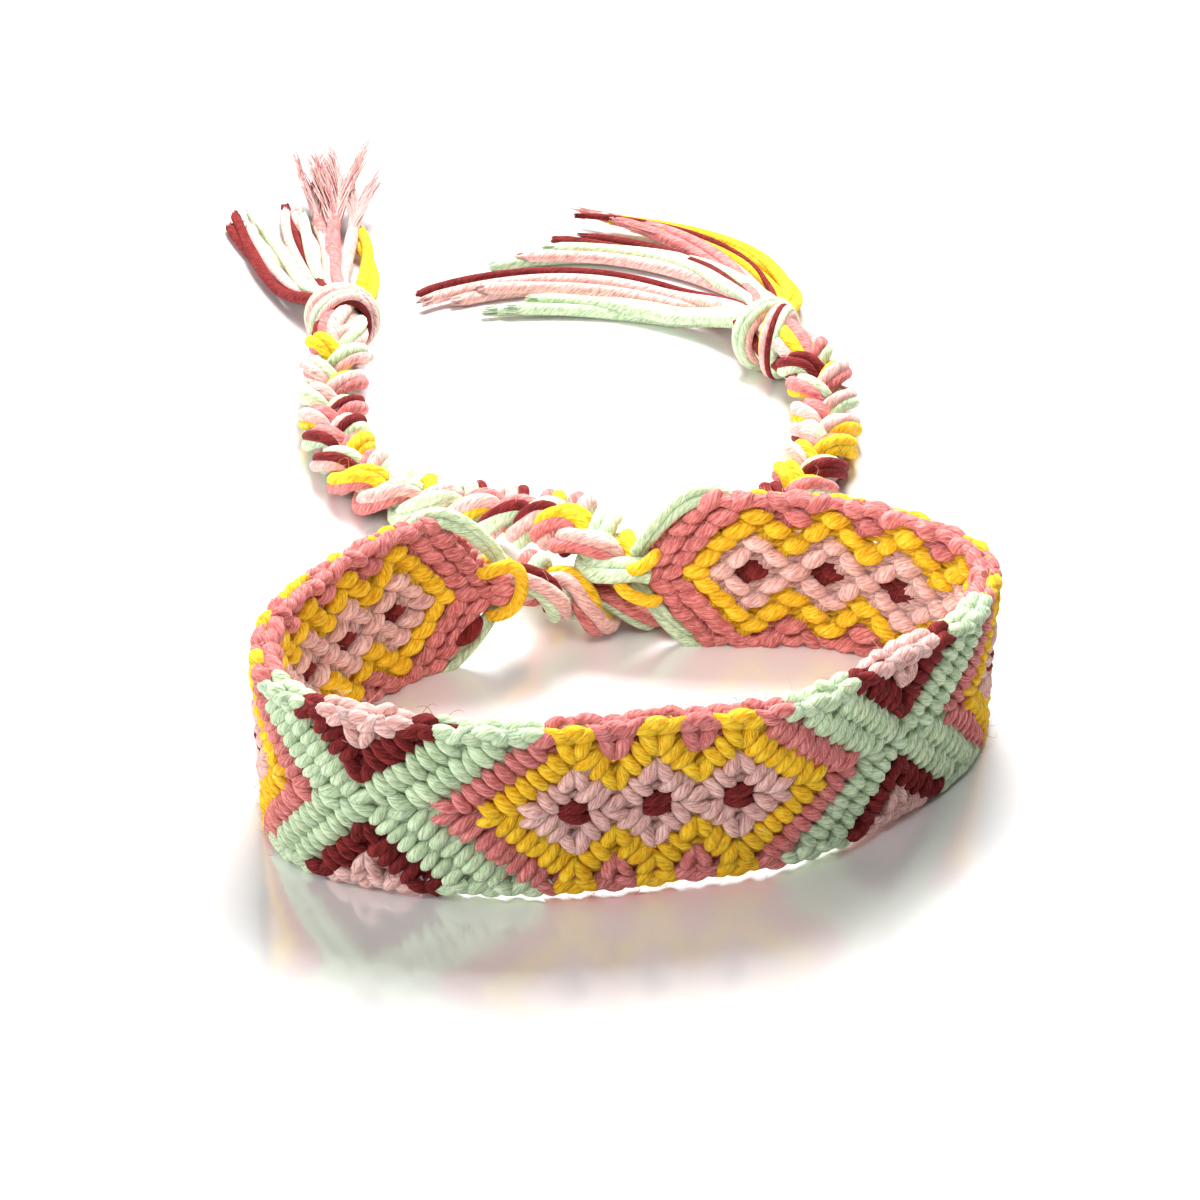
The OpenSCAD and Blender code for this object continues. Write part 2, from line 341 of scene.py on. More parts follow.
def along_rows(rows: np.ndarray | Rows, place: Numbers) -> np.ndarray:
    """Rows of a table at places between its rows, on a smooth curve through them.

    Args:
        rows: The table.
        place: Places, counted in rows from 0.

    Returns:
        One row for each place.
    """
    rows = np.asarray(rows, float)
    place = np.asarray(place, float)
    last = len(rows) - 1
    i = np.clip(np.floor(place), 0, last - 1).astype(int)
    padded = np.vstack([2 * rows[0] - rows[1], rows, 2 * rows[-1] - rows[-2]])
    a, b, c, d = (padded[i + k] for k in range(4))
    t = (place - i)[..., None]
    return 0.5 * (
        2 * b + (c - a) * t + (2 * a - 5 * b + 4 * c - d) * t**2 + (3 * b - a - 3 * c + d) * t**3
    )


def across(ahead: np.ndarray) -> tuple[np.ndarray, np.ndarray]:
    """Level directions to the left of a path that runs ahead, and the ones square above it."""
    side = unit(np.cross(UP, ahead))
    return side, np.cross(ahead, side)


def shifted(points: np.ndarray, *shifts: tuple[np.ndarray, np.ndarray]) -> np.ndarray:
    """Moves points in some directions.

    Args:
        points: The points.
        *shifts: The directions, each with the lengths to move by.

    Returns:
        The moved points.
    """
    for way, length in shifts:
        points = points + way * length[..., None]
    return points


def path_lengths(points: np.ndarray) -> np.ndarray:
    """Lengths along a path from its first point to each point."""
    steps = np.linalg.norm(np.diff(points, axis=0), axis=1)
    return np.concatenate([[0.0], np.cumsum(steps)])


def rounded_ends(points: np.ndarray, wide: float) -> np.ndarray:
    """Shares of a thread's thickness along its path, with both ends rounded off.

    Args:
        points: Points of the path.
        wide: The thread's diameter.

    Returns:
        One share for each point.
    """
    along = path_lengths(points)
    near = np.minimum(along, along[-1] - along)
    return 0.3 + 0.7 * np.sqrt(np.clip(near / wide, 0.0, 1.0))


@dataclass(frozen=True)
class Sizes:
    """Sizes that the band and the ties share with the part's source."""

    ring_w: float = 58.0
    ring_d: float = 38.4
    band_h: float = 15.0
    strand_d: float = 1.8
    braid_w: float = 6.5
    braid_t: float = 4.5
    braid_pitch: float = 14.4
    knot_d: float = 8.2
    knot_len: float = 6.6
    wrap_d: float = 2.5
    tassel_len: float = 44.0
    lock_d: float = 2.2
    gap: float = 0.3


SIZES = Sizes()

# The band's plan, one row every 7 half knots from the left tip: x and y as shares of half the
# ring's width and depth, the lower edge's lift and the band's height as shares of band_h
BAND_ROWS = (
    (-0.39, 0.81, 0.00, 0.96), (-0.62, 0.70, 0.00, 0.96), (-0.84, 0.31, 0.00, 0.96),
    (-0.96, -0.16, 0.00, 0.98), (-0.91, -0.65, 0.00, 1.00), (-0.68, -0.88, 0.01, 1.00),
    (-0.32, -0.98, 0.05, 0.94), (0.03, -0.92, 0.06, 0.95), (0.38, -0.79, 0.07, 0.92),
    (0.65, -0.46, 0.03, 1.00), (0.88, -0.03, 0.00, 0.96), (0.93, 0.48, 0.00, 0.96),
    (0.63, 0.91, 0.00, 0.95), (0.25, 0.97, 0.00, 0.96), (0.01, 0.96, 0.00, 0.96),
)

# Routes of the ties past the band's tips: x and y as above, height as a share of braid_t
LEFT_TIE_ROUTE = (
    (-0.30, 0.89, 1.50), (-0.18, 1.01, 0.88), (-0.05, 1.11, 0.53), (0.13, 1.29, 0.52),
    (0.33, 1.60, 0.52), (0.48, 2.02, 0.52), (0.60, 2.48, 0.52), (0.66, 2.86, 0.52),
    (0.68, 3.24, 0.52), (0.65, 3.60, 0.52), (0.54, 3.90, 0.52), (0.38, 4.18, 0.52),
    (0.20, 4.50, 0.52),
)
RIGHT_TIE_ROUTE = (
    (-0.07, 1.01, 1.72), (-0.13, 1.16, 1.84), (-0.19, 1.36, 1.70), (-0.28, 1.59, 1.28),
    (-0.45, 1.84, 0.92), (-0.64, 2.04, 0.66), (-0.80, 2.24, 0.54), (-0.92, 2.50, 0.52),
    (-1.00, 2.86, 0.52), (-1.04, 3.30, 0.52), (-1.05, 3.75, 0.52), (-1.06, 4.20, 0.52),
    (-1.08, 4.80, 0.52),
)


@dataclass
class BandShape:
    """Where the band runs: its plan, its heights and its outward direction.

    Attributes:
        half_knots: Half knots from tip to tip.
        levels: Rows of knots on each side of the middle one.
        step: Length of a half knot.
        rise: Height of a row of knots.
        half_knots_per_row: Half knots between two rows of the band's table.
    """

    half_knots: int = 98
    levels: int = 5
    step: float = 1.4
    rise: float = 1.31
    half_knots_per_row: float = 7.0

    def rows(self, half_knot: Numbers) -> np.ndarray:
        """Rows of the band's table at numbers of half knots from the left tip."""
        return along_rows(BAND_ROWS, np.asarray(half_knot, float) / self.half_knots_per_row)

    def plan(self, half_knot: Numbers) -> np.ndarray:
        """Points in the middle of the band's wall, on the floor.

        Args:
            half_knot: Places along the band.

        Returns:
            One point for each place.
        """
        rows = self.rows(half_knot)
        out = np.zeros(rows.shape[:-1] + (3,))
        out[..., 0] = rows[..., 0] * SIZES.ring_w / 2
        out[..., 1] = rows[..., 1] * SIZES.ring_d / 2
        return out

    def ahead(self, half_knot: Numbers) -> np.ndarray:
        """Directions along the band, towards its right tip."""
        half_knot = np.asarray(half_knot, float)
        return unit(self.plan(half_knot + 0.5) - self.plan(half_knot - 0.5))

    def outward(self, half_knot: Numbers) -> np.ndarray:
        """Directions from the middle of the band to its outer face."""
        return np.cross(self.ahead(half_knot), UP)

    def curve(self, rows: np.ndarray, fine: int = 8) -> np.ndarray:
        """Points on a smooth curve through rows of half knot, level and distance outwards."""
        last = len(rows) - 1
        return self.place(*along_rows(rows, np.linspace(0, last, fine * last + 1)).T)

    def place(self, half_knot: Numbers, level: Numbers, out: Numbers) -> np.ndarray:
        """Points of the band.

        Args:
            half_knot: Places along the band.
            level: Rows of knots above the middle one.
            out: Distances from the middle of the wall, outwards.

        Returns:
            One point for each place.
        """
        half_knot = np.asarray(half_knot, float)
        rows = self.rows(half_knot)
        full = rows[..., 3] * SIZES.band_h
        middle = np.maximum(rows[..., 2], 0.0) * SIZES.band_h + full / 2
        point = self.plan(half_knot) + np.asarray(out)[..., None] * self.outward(half_knot)
        point[..., 2] = middle + np.asarray(level) / (self.levels + 0.5) * full / 2
        return point


@dataclass
class KnotChart:
    """The band's pattern, charted: rows of flowers in zigzag outlines, and two crosses.

    Attributes:
        flowers: Columns of the flowers, in half knots from the front motif's first flower.
        crosses: Columns of the crosses.
        first: Column at the band's left tip.
        last: Column at its right tip.
        levels: Rows of knots on each side of the middle one.
    """

    # Yarns outwards from a flower's middle and from a cross's arm, and how far each reaches
    RINGS: ClassVar[tuple[tuple[int, Yarn], ...]] = (
        (1, Yarn.DARK_RED), (3, Yarn.PALE_PINK), (5, Yarn.YELLOW), (7, Yarn.ROSE)
    )
    ARMS: ClassVar[tuple[tuple[int, Yarn], ...]] = ((1, Yarn.MINT), (3, Yarn.DARK_RED))

    flowers: tuple[int, ...] = (-36, -32, -28, -24, -20, 0, 4, 8, 28, 32, 36, 40, 44)
    crosses: tuple[int, ...] = (-10, 18)
    first: int = -45
    last: int = 53
    levels: int = BandShape.levels

    def nearest(self, columns: tuple[int, ...], column: float) -> int:
        """The one of some columns that is nearest to a column."""
        return min(columns, key=lambda c: abs(c - column))

    def yarn(self, column: float, level: float) -> Yarn:
        """Yarn of the knot at a place in the chart.

        Args:
            column: Column of the knot.
            level: Row of the knot, 0 in the middle.

        Returns:
            The yarn that shows.
        """
        ring = abs(column - self.nearest(self.flowers, column)) + abs(level)
        for end, yarn in self.RINGS:
            if ring < end:
                return yarn
        if column < self.flowers[0] or column > self.flowers[-1]:
            return Yarn.ROSE
        arm = abs(level) - abs(column - self.nearest(self.crosses, column))
        for end, yarn in self.ARMS:
            if arm < end:
                return yarn
        return Yarn.PALE_PINK

    def lean(self, column: int, level: int) -> int:
        """Which way the line of knots through a knot leans.

        Args:
            column: Column of the knot.
            level: Row of the knot.

        Returns:
            1 where it rises with the column, -1 where it falls, 0 where two lines meet.
        """
        flower = self.nearest(self.flowers, column)
        side = int(np.sign(column - flower))
        between_flowers = abs(column - flower) == 2 and flower + 4 * side in self.flowers
        if column in self.crosses or between_flowers:
            return 0
        return -side * int(np.sign(level))

    def pinhole(self, column: int, level: int) -> bool:
        """Whether a place is one of the small openings below each flower and beside the next."""
        away = abs(column - self.nearest(self.flowers, column))
        return (away == 0 and level in (-3, -5)) or (away == 2 and level == 3)

    def cells(self) -> list[tuple[int, int]]:
        """Places of all knots, cut to a point at both ends.

        Returns:
            Column and level of each knot.
        """
        return [
            (column, level)
            for column in range(self.first, self.last + 1)
            for level in range(-self.levels, self.levels + 1)
            if (column + level) % 2 == 0
            and self.first < column - abs(level)
            and column + abs(level) < self.last
        ]


@dataclass
class ThreadPaths:
    """Paths of threads, gathered by yarn before they are swept into round threads."""

    paths: dict[Yarn, list[tuple[np.ndarray, np.ndarray, float, bool]]] = field(
        default_factory=dict
    )

    def add(
        self, yarn: Yarn, points: np.ndarray, thickness: Numbers, tint: float, ring: bool = False
    ) -> None:
        """Adds a thread with its diameters and share of brightness, which may close into a ring."""
        thick = np.broadcast_to(np.asarray(thickness, float), (len(points),)).copy()
        self.paths.setdefault(yarn, []).append((np.asarray(points, float), thick, tint, ring))

    def mesh(self, yarn: Yarn, name: str) -> bpy.types.Mesh:
        """Makes the paths of one yarn into a mesh of edges with the attributes thick and tint.

        Args:
            yarn: The yarn.
            name: The mesh's name.

        Returns:
            The mesh, in metres.
        """
        points, edges, thick, tint = [], [], [], []
        start = 0
        for path, wide, share, ring in self.paths[yarn]:
            count = len(path)
            points.append(path)
            thick.append(wide / 2 * MM)
            tint.append(np.full(count, share))
            ids = np.arange(start, start + count)
            edges.append(np.column_stack([ids[:-1], ids[1:]]))
            if ring:
                edges.append(np.array([[ids[-1], ids[0]]]))
            start += count
        made = bpy.data.meshes.new(name)
        made.from_pydata((np.vstack(points) * MM).tolist(), np.vstack(edges).tolist(), [])
        for key, values in (("thick", np.concatenate(thick)), ("tint", np.concatenate(tint))):
            attribute = made.attributes.new(key, "FLOAT", "POINT")
            attribute.data.foreach_set("value", values)
        return made


class NodeTree(NodeMaker):
    """Base of the geometry trees: makes the tree, adds nodes and applies it to a mesh."""

    def __init__(self, name: str) -> None:
        """Makes an empty tree with a geometry input and output.

        Args:
            name: The tree's name.
        """
        super().__init__(bpy.data.node_groups.new(name, "GeometryNodeTree"))
        self.names: dict[str, str] = {}
        self.socket("Geometry", "NodeSocketGeometry")
        self.tree.interface.new_socket("Geometry", in_out="OUTPUT", socket_type="NodeSocketGeometry")
        self.start = self.node("NodeGroupInput")
        self.end = self.node("NodeGroupOutput")

    def socket(self, name: str, kind: str) -> None:
        """Adds a named input and keeps its identifier."""
        made = self.tree.interface.new_socket(name, in_out="INPUT", socket_type=kind)
        self.names[name] = made.identifier

    def read(self, name: str, kind: str) -> bpy.types.NodeSocket:
        """Adds a node that reads a named attribute of a data type, and gives its value."""
        made = self.node("GeometryNodeInputNamedAttribute", {"Name": name}, data_type=kind)
        return made.outputs["Attribute"]

    def store(
        self, geometry: bpy.types.NodeSocket, name: str, kind: str, value: bpy.types.NodeSocket
    ) -> bpy.types.NodeSocket:
        """Adds a node that stores a named attribute on points.

        Args:
            geometry: The geometry to store it on.
            name: The attribute's name.
            kind: Its data type.
            value: Its value.

        Returns:
            The geometry with the attribute.
        """
        inputs = {"Name": name, "Geometry": geometry, "Value": value}
        made = self.node(
            "GeometryNodeStoreNamedAttribute", inputs, data_type=kind, domain="POINT"
        )
        return made.outputs["Geometry"]

    def sweep(
        self, curve: bpy.types.NodeSocket, sides: bpy.types.NodeSocket, wide: bpy.types.NodeSocket
    ) -> bpy.types.NodeSocket:
        """Sweeps a round section along a curve and keeps the attributes along and round.

        Args:
            curve: The curve.
            sides: Number of sides of the section.
            wide: Radius of the section along the curve.

        Returns:
            The mesh of the thread.
        """
        length = self.node("GeometryNodeSplineParameter").outputs["Length"]
        marked = self.store(curve, "along", "FLOAT", length)
        circle = self.node(
            "GeometryNodeCurvePrimitiveCircle", {"Radius": 1.0, "Resolution": sides}, mode="RADIUS"
        )
        spot = self.node("GeometryNodeInputPosition").outputs["Position"]
        section = self.store(circle.outputs["Curve"], "round", "FLOAT_VECTOR", spot)
        inputs = {"Fill Caps": True, "Curve": marked, "Profile Curve": section, "Scale": wide}
        return self.node("GeometryNodeCurveToMesh", inputs).outputs["Mesh"]

    def close(self, geometry: bpy.types.NodeSocket) -> None:
        """Ends the tree: real geometry, smooth shading and the material.

        Args:
            geometry: What the tree has made.
        """
        for kind, inputs in (
            ("GeometryNodeRealizeInstances", {}),
            ("GeometryNodeSetShadeSmooth", {}),
            ("GeometryNodeSetMaterial", {"Material": self.start.outputs["Material"]}),
        ):
            geometry = self.node(kind, {"Geometry": geometry, **inputs}).outputs["Geometry"]
        self.feed(geometry, self.end.inputs["Geometry"])

    def apply(self, mesh: bpy.types.Mesh, name: str, **values: object) -> bpy.types.Object:
        """Runs the tree on a mesh and keeps the result as a plain mesh.

        Args:
            mesh: What the tree starts from.
            name: The finished piece's name.
            **values: The tree's inputs, with underscores for spaces.

        Returns:
            The finished piece, at the origin.
        """
        source = bpy.data.objects.new(name + "_source", mesh)
        bpy.context.scene.collection.objects.link(source)
        modifier = source.modifiers.new("tree", "NODES")
        modifier.node_group = self.tree
        for key, value in values.items():
            modifier[self.names[key.replace("_", " ")]] = value
        graph = bpy.context.evaluated_depsgraph_get()
        made = bpy.data.meshes.new_from_object(
            source.evaluated_get(graph), preserve_all_data_layers=True, depsgraph=graph
        )
        made.name = name
        source.modifiers.clear()
        bpy.data.objects.remove(source)
        bpy.data.meshes.remove(mesh)
        for used_up in ("thick", "facing", "grain", "size"):
            if used_up in made.attributes:
                made.attributes.remove(made.attributes[used_up])
        piece = bpy.data.objects.new(name, made)
        bpy.context.scene.collection.objects.link(piece)
        return piece


class ThreadTree(NodeTree):
    """Sweeps threads along paths of edges that carry the attributes thick and tint."""

    def __init__(self) -> None:
        """Builds the tree."""
        super().__init__("threads_along_paths")
        self.socket("Sides", "NodeSocketInt")
        self.socket("Material", "NodeSocketMaterial")
        start = self.start.outputs
        curve = self.node("GeometryNodeMeshToCurve", {"Mesh": start["Geometry"]})
        wide = self.read("thick", "FLOAT")
        self.close(self.sweep(curve.outputs["Curve"], start["Sides"], wide))


class LoopTree(NodeTree):
    """Sets an arched loop of yarn on each point, turned by the attributes grain and facing."""

    # How much of the loop's thickness its ends lose, for the squared distance from its middle
    END_NARROWING: ClassVar[float] = 1.3

    def __init__(self) -> None:
        """Builds the tree."""
        super().__init__("loops_on_knots")
        for name in ("Loop length", "Loop thickness", "Loop sink"):
            self.socket(name, "NodeSocketFloat")
        for name in ("Rings", "Sides"):
            self.socket(name, "NodeSocketInt")
        self.socket("Material", "NodeSocketMaterial")
        start = self.start.outputs
        down = self.math("MULTIPLY", start["Loop sink"], -1.0)
        arc = self.node("GeometryNodeCurveQuadraticBezier", {"Resolution": start["Rings"]})
        for name, share, height in (
            ("Start", -0.5, down), ("Middle", 0.0, start["Loop sink"]), ("End", 0.5, down)
        ):
            side = self.math("MULTIPLY", start["Loop length"], share)
            corner = self.node("ShaderNodeCombineXYZ", {"X": side, "Z": height})
            self.feed(corner.outputs["Vector"], arc.inputs[name])
        factor = self.node("GeometryNodeSplineParameter").outputs["Factor"]
        left = self.math("SUBTRACT", factor, 0.5)
        narrow = self.math("MULTIPLY", self.math("MULTIPLY", left, left), -self.END_NARROWING)
        wide = self.math("MULTIPLY", start["Loop thickness"], self.math("ADD", narrow, 0.5))
        loop = self.sweep(arc.outputs["Curve"], start["Sides"], wide)
        axes = {
            "Primary Axis": self.read("facing", "FLOAT_VECTOR"),
            "Secondary Axis": self.read("grain", "FLOAT_VECTOR"),
        }
        turn = self.node("FunctionNodeAxesToRotation", axes, primary_axis="Z", secondary_axis="X")
        inputs = {
            "Points": start["Geometry"],
            "Instance": loop,
            "Rotation": turn.outputs["Rotation"],
            "Scale": self.read("size", "FLOAT_VECTOR"),
        }
        self.close(self.node("GeometryNodeInstanceOnPoints", inputs).outputs["Instances"])


@dataclass
class Workshop:
    """What all pieces share: finishes, trees and the random numbers."""

    materials: dict[Yarn, bpy.types.Material]
    threads: ThreadTree
    loops: LoopTree
    chance: np.random.Generator

    def finish_piece(self, piece: bpy.types.Object, yarn: Yarn, *nodes: str) -> bpy.types.Object:
        """Says what a piece rides on and what it replaces.

        Args:
            piece: The finished piece.
            yarn: Its yarn; not used.
            *nodes: CAD nodes that it stands for.

        Returns:
            The same piece.
        """
        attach(piece, "root")
        if nodes:
            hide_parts(*nodes)
        triangles = sum(len(p.vertices) - 2 for p in piece.data.polygons)
        LOG.info("%s: %d triangles", piece.name, triangles)
        return piece

    def sweep(self, paths: ThreadPaths, name: str, sides: int, *nodes: str) -> None:
        """Sweeps gathered threads into one piece for each yarn.

        Args:
            paths: The gathered threads.
            name: What the pieces are named after.
            sides: Number of sides of each thread.
            *nodes: CAD nodes that the pieces stand for.
        """
        for yarn in paths.paths:
            title = f"{name}_{yarn.value}"
            mesh = paths.mesh(yarn, title + "_paths")
            piece = self.threads.apply(mesh, title, Sides=sides, Material=self.materials[yarn])
            self.finish_piece(piece, yarn, *nodes)


@dataclass
class Maker:
    """Base of what makes the bracelet's pieces.

    Attributes:
        shop: Finishes, trees and random numbers.
    """

    shop: Workshop


@dataclass(frozen=True)
class LoopStyle:
    """The loops on one face of the band.

    Attributes:
        length: Length of a loop.
        thickness: Its thickness in the middle.
        turn: How unevenly the loops turn, in radians.
        uneven: How unevenly long and thick they are, as a share.
    """

    length: float
    thickness: float
    turn: float
    uneven: float


@dataclass(frozen=True)
class KnotForm:
    """How the two loops of a kind of knot lie on the outer face.

    Attributes:
        apart: How far each lies from the knot's middle.
        along: Its direction along the band.
        up: Its direction upwards.
    """

    apart: float
    along: float
    up: float


@dataclass
class KnottedBand(Maker):
    """The knotted band: inner threads, loops on each face, and threads at its edges.

    Attributes:
        shape: Where the band runs.
        chart: Its pattern.
        loop_sink: How deep the ends of a loop sink into the band.
        loop_out: Distance of the loops from the middle of the wall.
        loop_rings: Points along a loop.
        line_apart: How far the loops in a slanting line lie from their knot's middle.
        edge_inset: How far the loops of the outer rows lie inwards.
        inner_slope: Slope of the inner face's loops in a slanting line.
        red_inset: How much deeper the dark red loops of the inner face lie.
        place_wobble: How unevenly the loops lie along and up.
        out_wobble: How unevenly they lie outwards.
        carrier_d: Thickness of the slanting threads inside the band.
        carrier_out: How far the two ways of slanting lie apart from the middle.
        filler_d: Thickness of the short threads between the knots.
        filler_len: Their length in half knots.
        pinhole_share: Their share of thickness where the band has a small opening.
        edge_d: Thickness of the threads along the edges.
        edge_level: Level of their ends.
        edge_bow: How many levels they bow past it.
        edge_out: Distance of their ends from the middle of the wall.
        edge_out_bow: How far they bow past it.
        edge_start: Half knots from a knot to the end of its edge threads.
        edge_len: Their length in half knots.
        edge_end_share: Their ends' share of thickness.
        tip_thread_d: Thickness of the yellow threads round the tips.
        red_tip_d: Thickness of the dark red thread below the left tip.
        point_d: Thickness of the rose threads at the left tip.
        bare_d: Thickness of the bare mint threads.
        bare_points: Points along each of them.
        bare_reach: How far, in levels and outwards, they lie from their strand's middle.
        upper_bows: How far the upper bare strands bow away from the left and the right tip.
    """

    STYLES: ClassVar[dict[KnotFace, LoopStyle]] = {
        KnotFace.OUTER: LoopStyle(length=2.45, thickness=1.12, turn=0.11, uneven=0.05),
        KnotFace.INNER: LoopStyle(length=2.45, thickness=1.50, turn=0.17, uneven=0.08),
    }
    # In the middle of a flower, two level loops, one above the other
    FLOWER_MIDDLE: ClassVar[KnotForm] = KnotForm(apart=0.42, along=1.0, up=0.12)
    # At an edge, two long loops that slope like a low roof
    AT_EDGE: ClassVar[KnotForm] = KnotForm(apart=0.52, along=0.92, up=0.38)
    # Where lines meet in the middle row, two loops that draw together towards the flower
    BESIDE_FLOWER: ClassVar[KnotForm] = KnotForm(apart=0.46, along=1.0, up=0.45)
    # Where lines meet in other rows, two steep loops in a V
    MEETING: ClassVar[KnotForm] = KnotForm(apart=0.5, along=0.45, up=0.9)
    # Painted shade: a tint below zero that darkens the threads inside the band, which lie in shade
    INNER_SHADE_TINT: ClassVar[float] = -1.2
    # A bare strand: half knots in from the tip, level, distance outwards, share of the bow
    BARE_STRAND: ClassVar[Rows] = (
        (7.4, 5.0, 0.0, 0.0), (6.2, 5.35, -0.1, 0.0), (4.4, 4.9, -0.3, 0.5),
        (2.4, 3.5, -0.3, 1.2), (0.6, 1.7, -0.1, 1.5), (-0.4, 0.8, 0.0, 0.6),
    )
    # Where its two threads lie round each other at its ends, in radians
    BARE_TURN: ClassVar[tuple[float, float]] = (0.4, 2.2)
    # Dark red thread below the left tip: half knots in from the tip, level, distance outwards
    LEFT_TIP_RED: ClassVar[Rows] = (
        (1.9, -1.8, -0.8), (2.5, -2.4, -1.35), (3.3, -3.0, -1.35), (4.1, -3.5, -0.8),
    )
    # Yellow threads round the left tip, in the same columns
    LEFT_TIP_THREADS: ClassVar[tuple[Rows, ...]] = (
        (
            (2.0, 1.3, -0.4), (1.6, 1.5, -1.2), (0.7, 2.0, -1.9), (-0.2, 2.2, -2.2),
            (-0.8, 1.7, -2.4), (-0.9, 0.6, -2.4), (-0.6, -0.5, -2.2), (0.0, -1.2, -1.8),
            (0.8, -1.6, -1.3), (1.3, -1.7, -0.4),
        ),
        (
            (1.6, 1.2, 0.4), (1.3, 1.3, 1.2), (0.2, 1.2, 1.9), (-1.1, 0.9, 1.9), (-1.8, 0.4, 0.9),
        ),
    )
    # Rose threads that make the left tip's point
    LEFT_TIP_POINT: ClassVar[tuple[Rows, ...]] = (
        ((1.2, 1.0, -0.6), (0.3, 0.9, -1.0), (-0.5, 0.6, -1.1), (-1.3, 0.3, -0.6)),
        ((1.2, -0.5, -0.6), (0.3, -0.5, -1.1), (-0.5, -0.3, -1.2), (-1.4, -0.2, -0.6)),
        ((1.0, 0.3, -0.9), (0.1, 0.3, -1.4), (-0.6, 0.2, -1.4), (-1.2, 0.1, -0.8)),
    )
    # Yellow threads round the right tip
    RIGHT_TIP_THREADS: ClassVar[tuple[Rows, ...]] = (
        ((1.6, 1.5, -0.4), (1.2, 1.4, -1.3), (0.4, 1.0, -1.8), (-0.5, 0.6, -1.6), (-1.1, 0.4, -0.4)),
        (
            (-1.5, 0.0, -0.4), (-1.5, -0.5, -1.4), (-0.9, -1.0, -1.9), (0.3, -1.5, -1.8),
            (1.4, -1.8, -1.3), (1.9, -1.8, -0.4),
        ),
        ((1.9, 1.6, 0.4), (1.2, 1.2, 1.3), (0.0, 0.8, 1.9), (-1.2, 0.4, 1.4), (-1.6, 0.1, 0.0)),
    )

    shape: BandShape = field(default_factory=BandShape)
    chart: KnotChart = field(default_factory=KnotChart)
    loop_sink: float = 0.34
    loop_out: float = 0.62
    loop_rings: int = 6
    line_apart: float = 0.48
    edge_inset: float = 0.16
    inner_slope: float = 0.50
    red_inset: float = 0.42
    place_wobble: float = 0.05
    out_wobble: float = 0.03
    carrier_d: float = 1.30
    carrier_out: float = 0.12
    filler_d: float = 0.95
    filler_len: float = 1.3
    pinhole_share: float = 0.42
    edge_d: float = 1.14
    edge_level: float = 4.66
    edge_bow: float = 0.50
    edge_out: float = 0.36
    edge_out_bow: float = 0.14
    edge_start: float = 0.1
    edge_len: float = 1.8
    edge_end_share: float = 0.62
    tip_thread_d: float = 1.15
    red_tip_d: float = 1.3
    point_d: float = 1.5
    bare_d: float = 1.0
    bare_points: int = 41
    bare_reach: tuple[float, float] = (0.34, 0.40)
    upper_bows: tuple[float, float] = (0.6, 0.3)

    def build(self) -> None:
        """Builds all pieces of the band."""
        self._carriers()
        self._knots()
        self._loose_ends()

    def _pair(self, column: int, level: int, face: KnotFace) -> list[tuple[float, ...]]:
        """Places and directions of a knot's loops: two on the outer face, one on the inner.

        Args:
            column: Column of the knot.
            level: Row of the knot.
            face: The face of the band.

        Returns:
            For each loop: its shift along and up, and its direction along and up.
        """
        lean = self.chart.lean(column, level)
        yarn = self.chart.yarn(column, level)
        upper = 1 if level > 0 else -1
        sides = (-1, 1)
        if face is KnotFace.INNER:
            return [(0.0, 0.0, 1.0, self.inner_slope * lean)]
        if yarn is Yarn.DARK_RED and level == 0:
            form = self.FLOWER_MIDDLE
            return [(0.0, side * form.apart, form.along, side * form.up) for side in sides]
        if abs(level) == self.chart.levels:
            form = self.AT_EDGE
            inset = -self.edge_inset * upper
            slope = -form.up * upper
            return [(side * form.apart, inset, form.along, side * slope) for side in sides]
        # In a slanting line, two loops across the line
        if lean:
            ridge = unit(np.array([self.shape.step, lean * self.shape.rise]))
            return [(*(side * self.line_apart * ridge), -ridge[1], ridge[0]) for side in sides]
        if level == 0:
            form = self.BESIDE_FLOWER
            slope = form.up if column < self.chart.nearest(self.chart.flowers, column) else -form.up
            return [(0.0, side * form.apart, form.along, -side * slope) for side in sides]
        # The V opens away from the middle row, or towards it beside a flower
        form = self.MEETING
        opens = -upper if yarn is Yarn.PALE_PINK and abs(level) == 2 else upper
        return [(side * form.apart, 0.0, side * form.along * opens, form.up) for side in sides]

    def _knots(self) -> None:
        """Sets the loops of all knots on both faces, one piece for each yarn and face."""
        for face in KnotFace:
            rows: dict[Yarn, list[tuple[float, ...]]] = {}
            for column, level in self.chart.cells():
                yarn = self.chart.yarn(column, level)
                for shift in self._pair(column, level, face):
                    beside = column + (1 if shift[0] > 0 else -1)
                    at_edge = abs(level) == self.chart.levels and beside in self.chart.flowers
                    peak = at_edge and face is KnotFace.OUTER
                    seen = Yarn.YELLOW if peak else yarn
                    rows.setdefault(seen, []).append((column, level, *shift))
            for yarn, found in rows.items():
                self._loops(face, yarn, np.array(found))

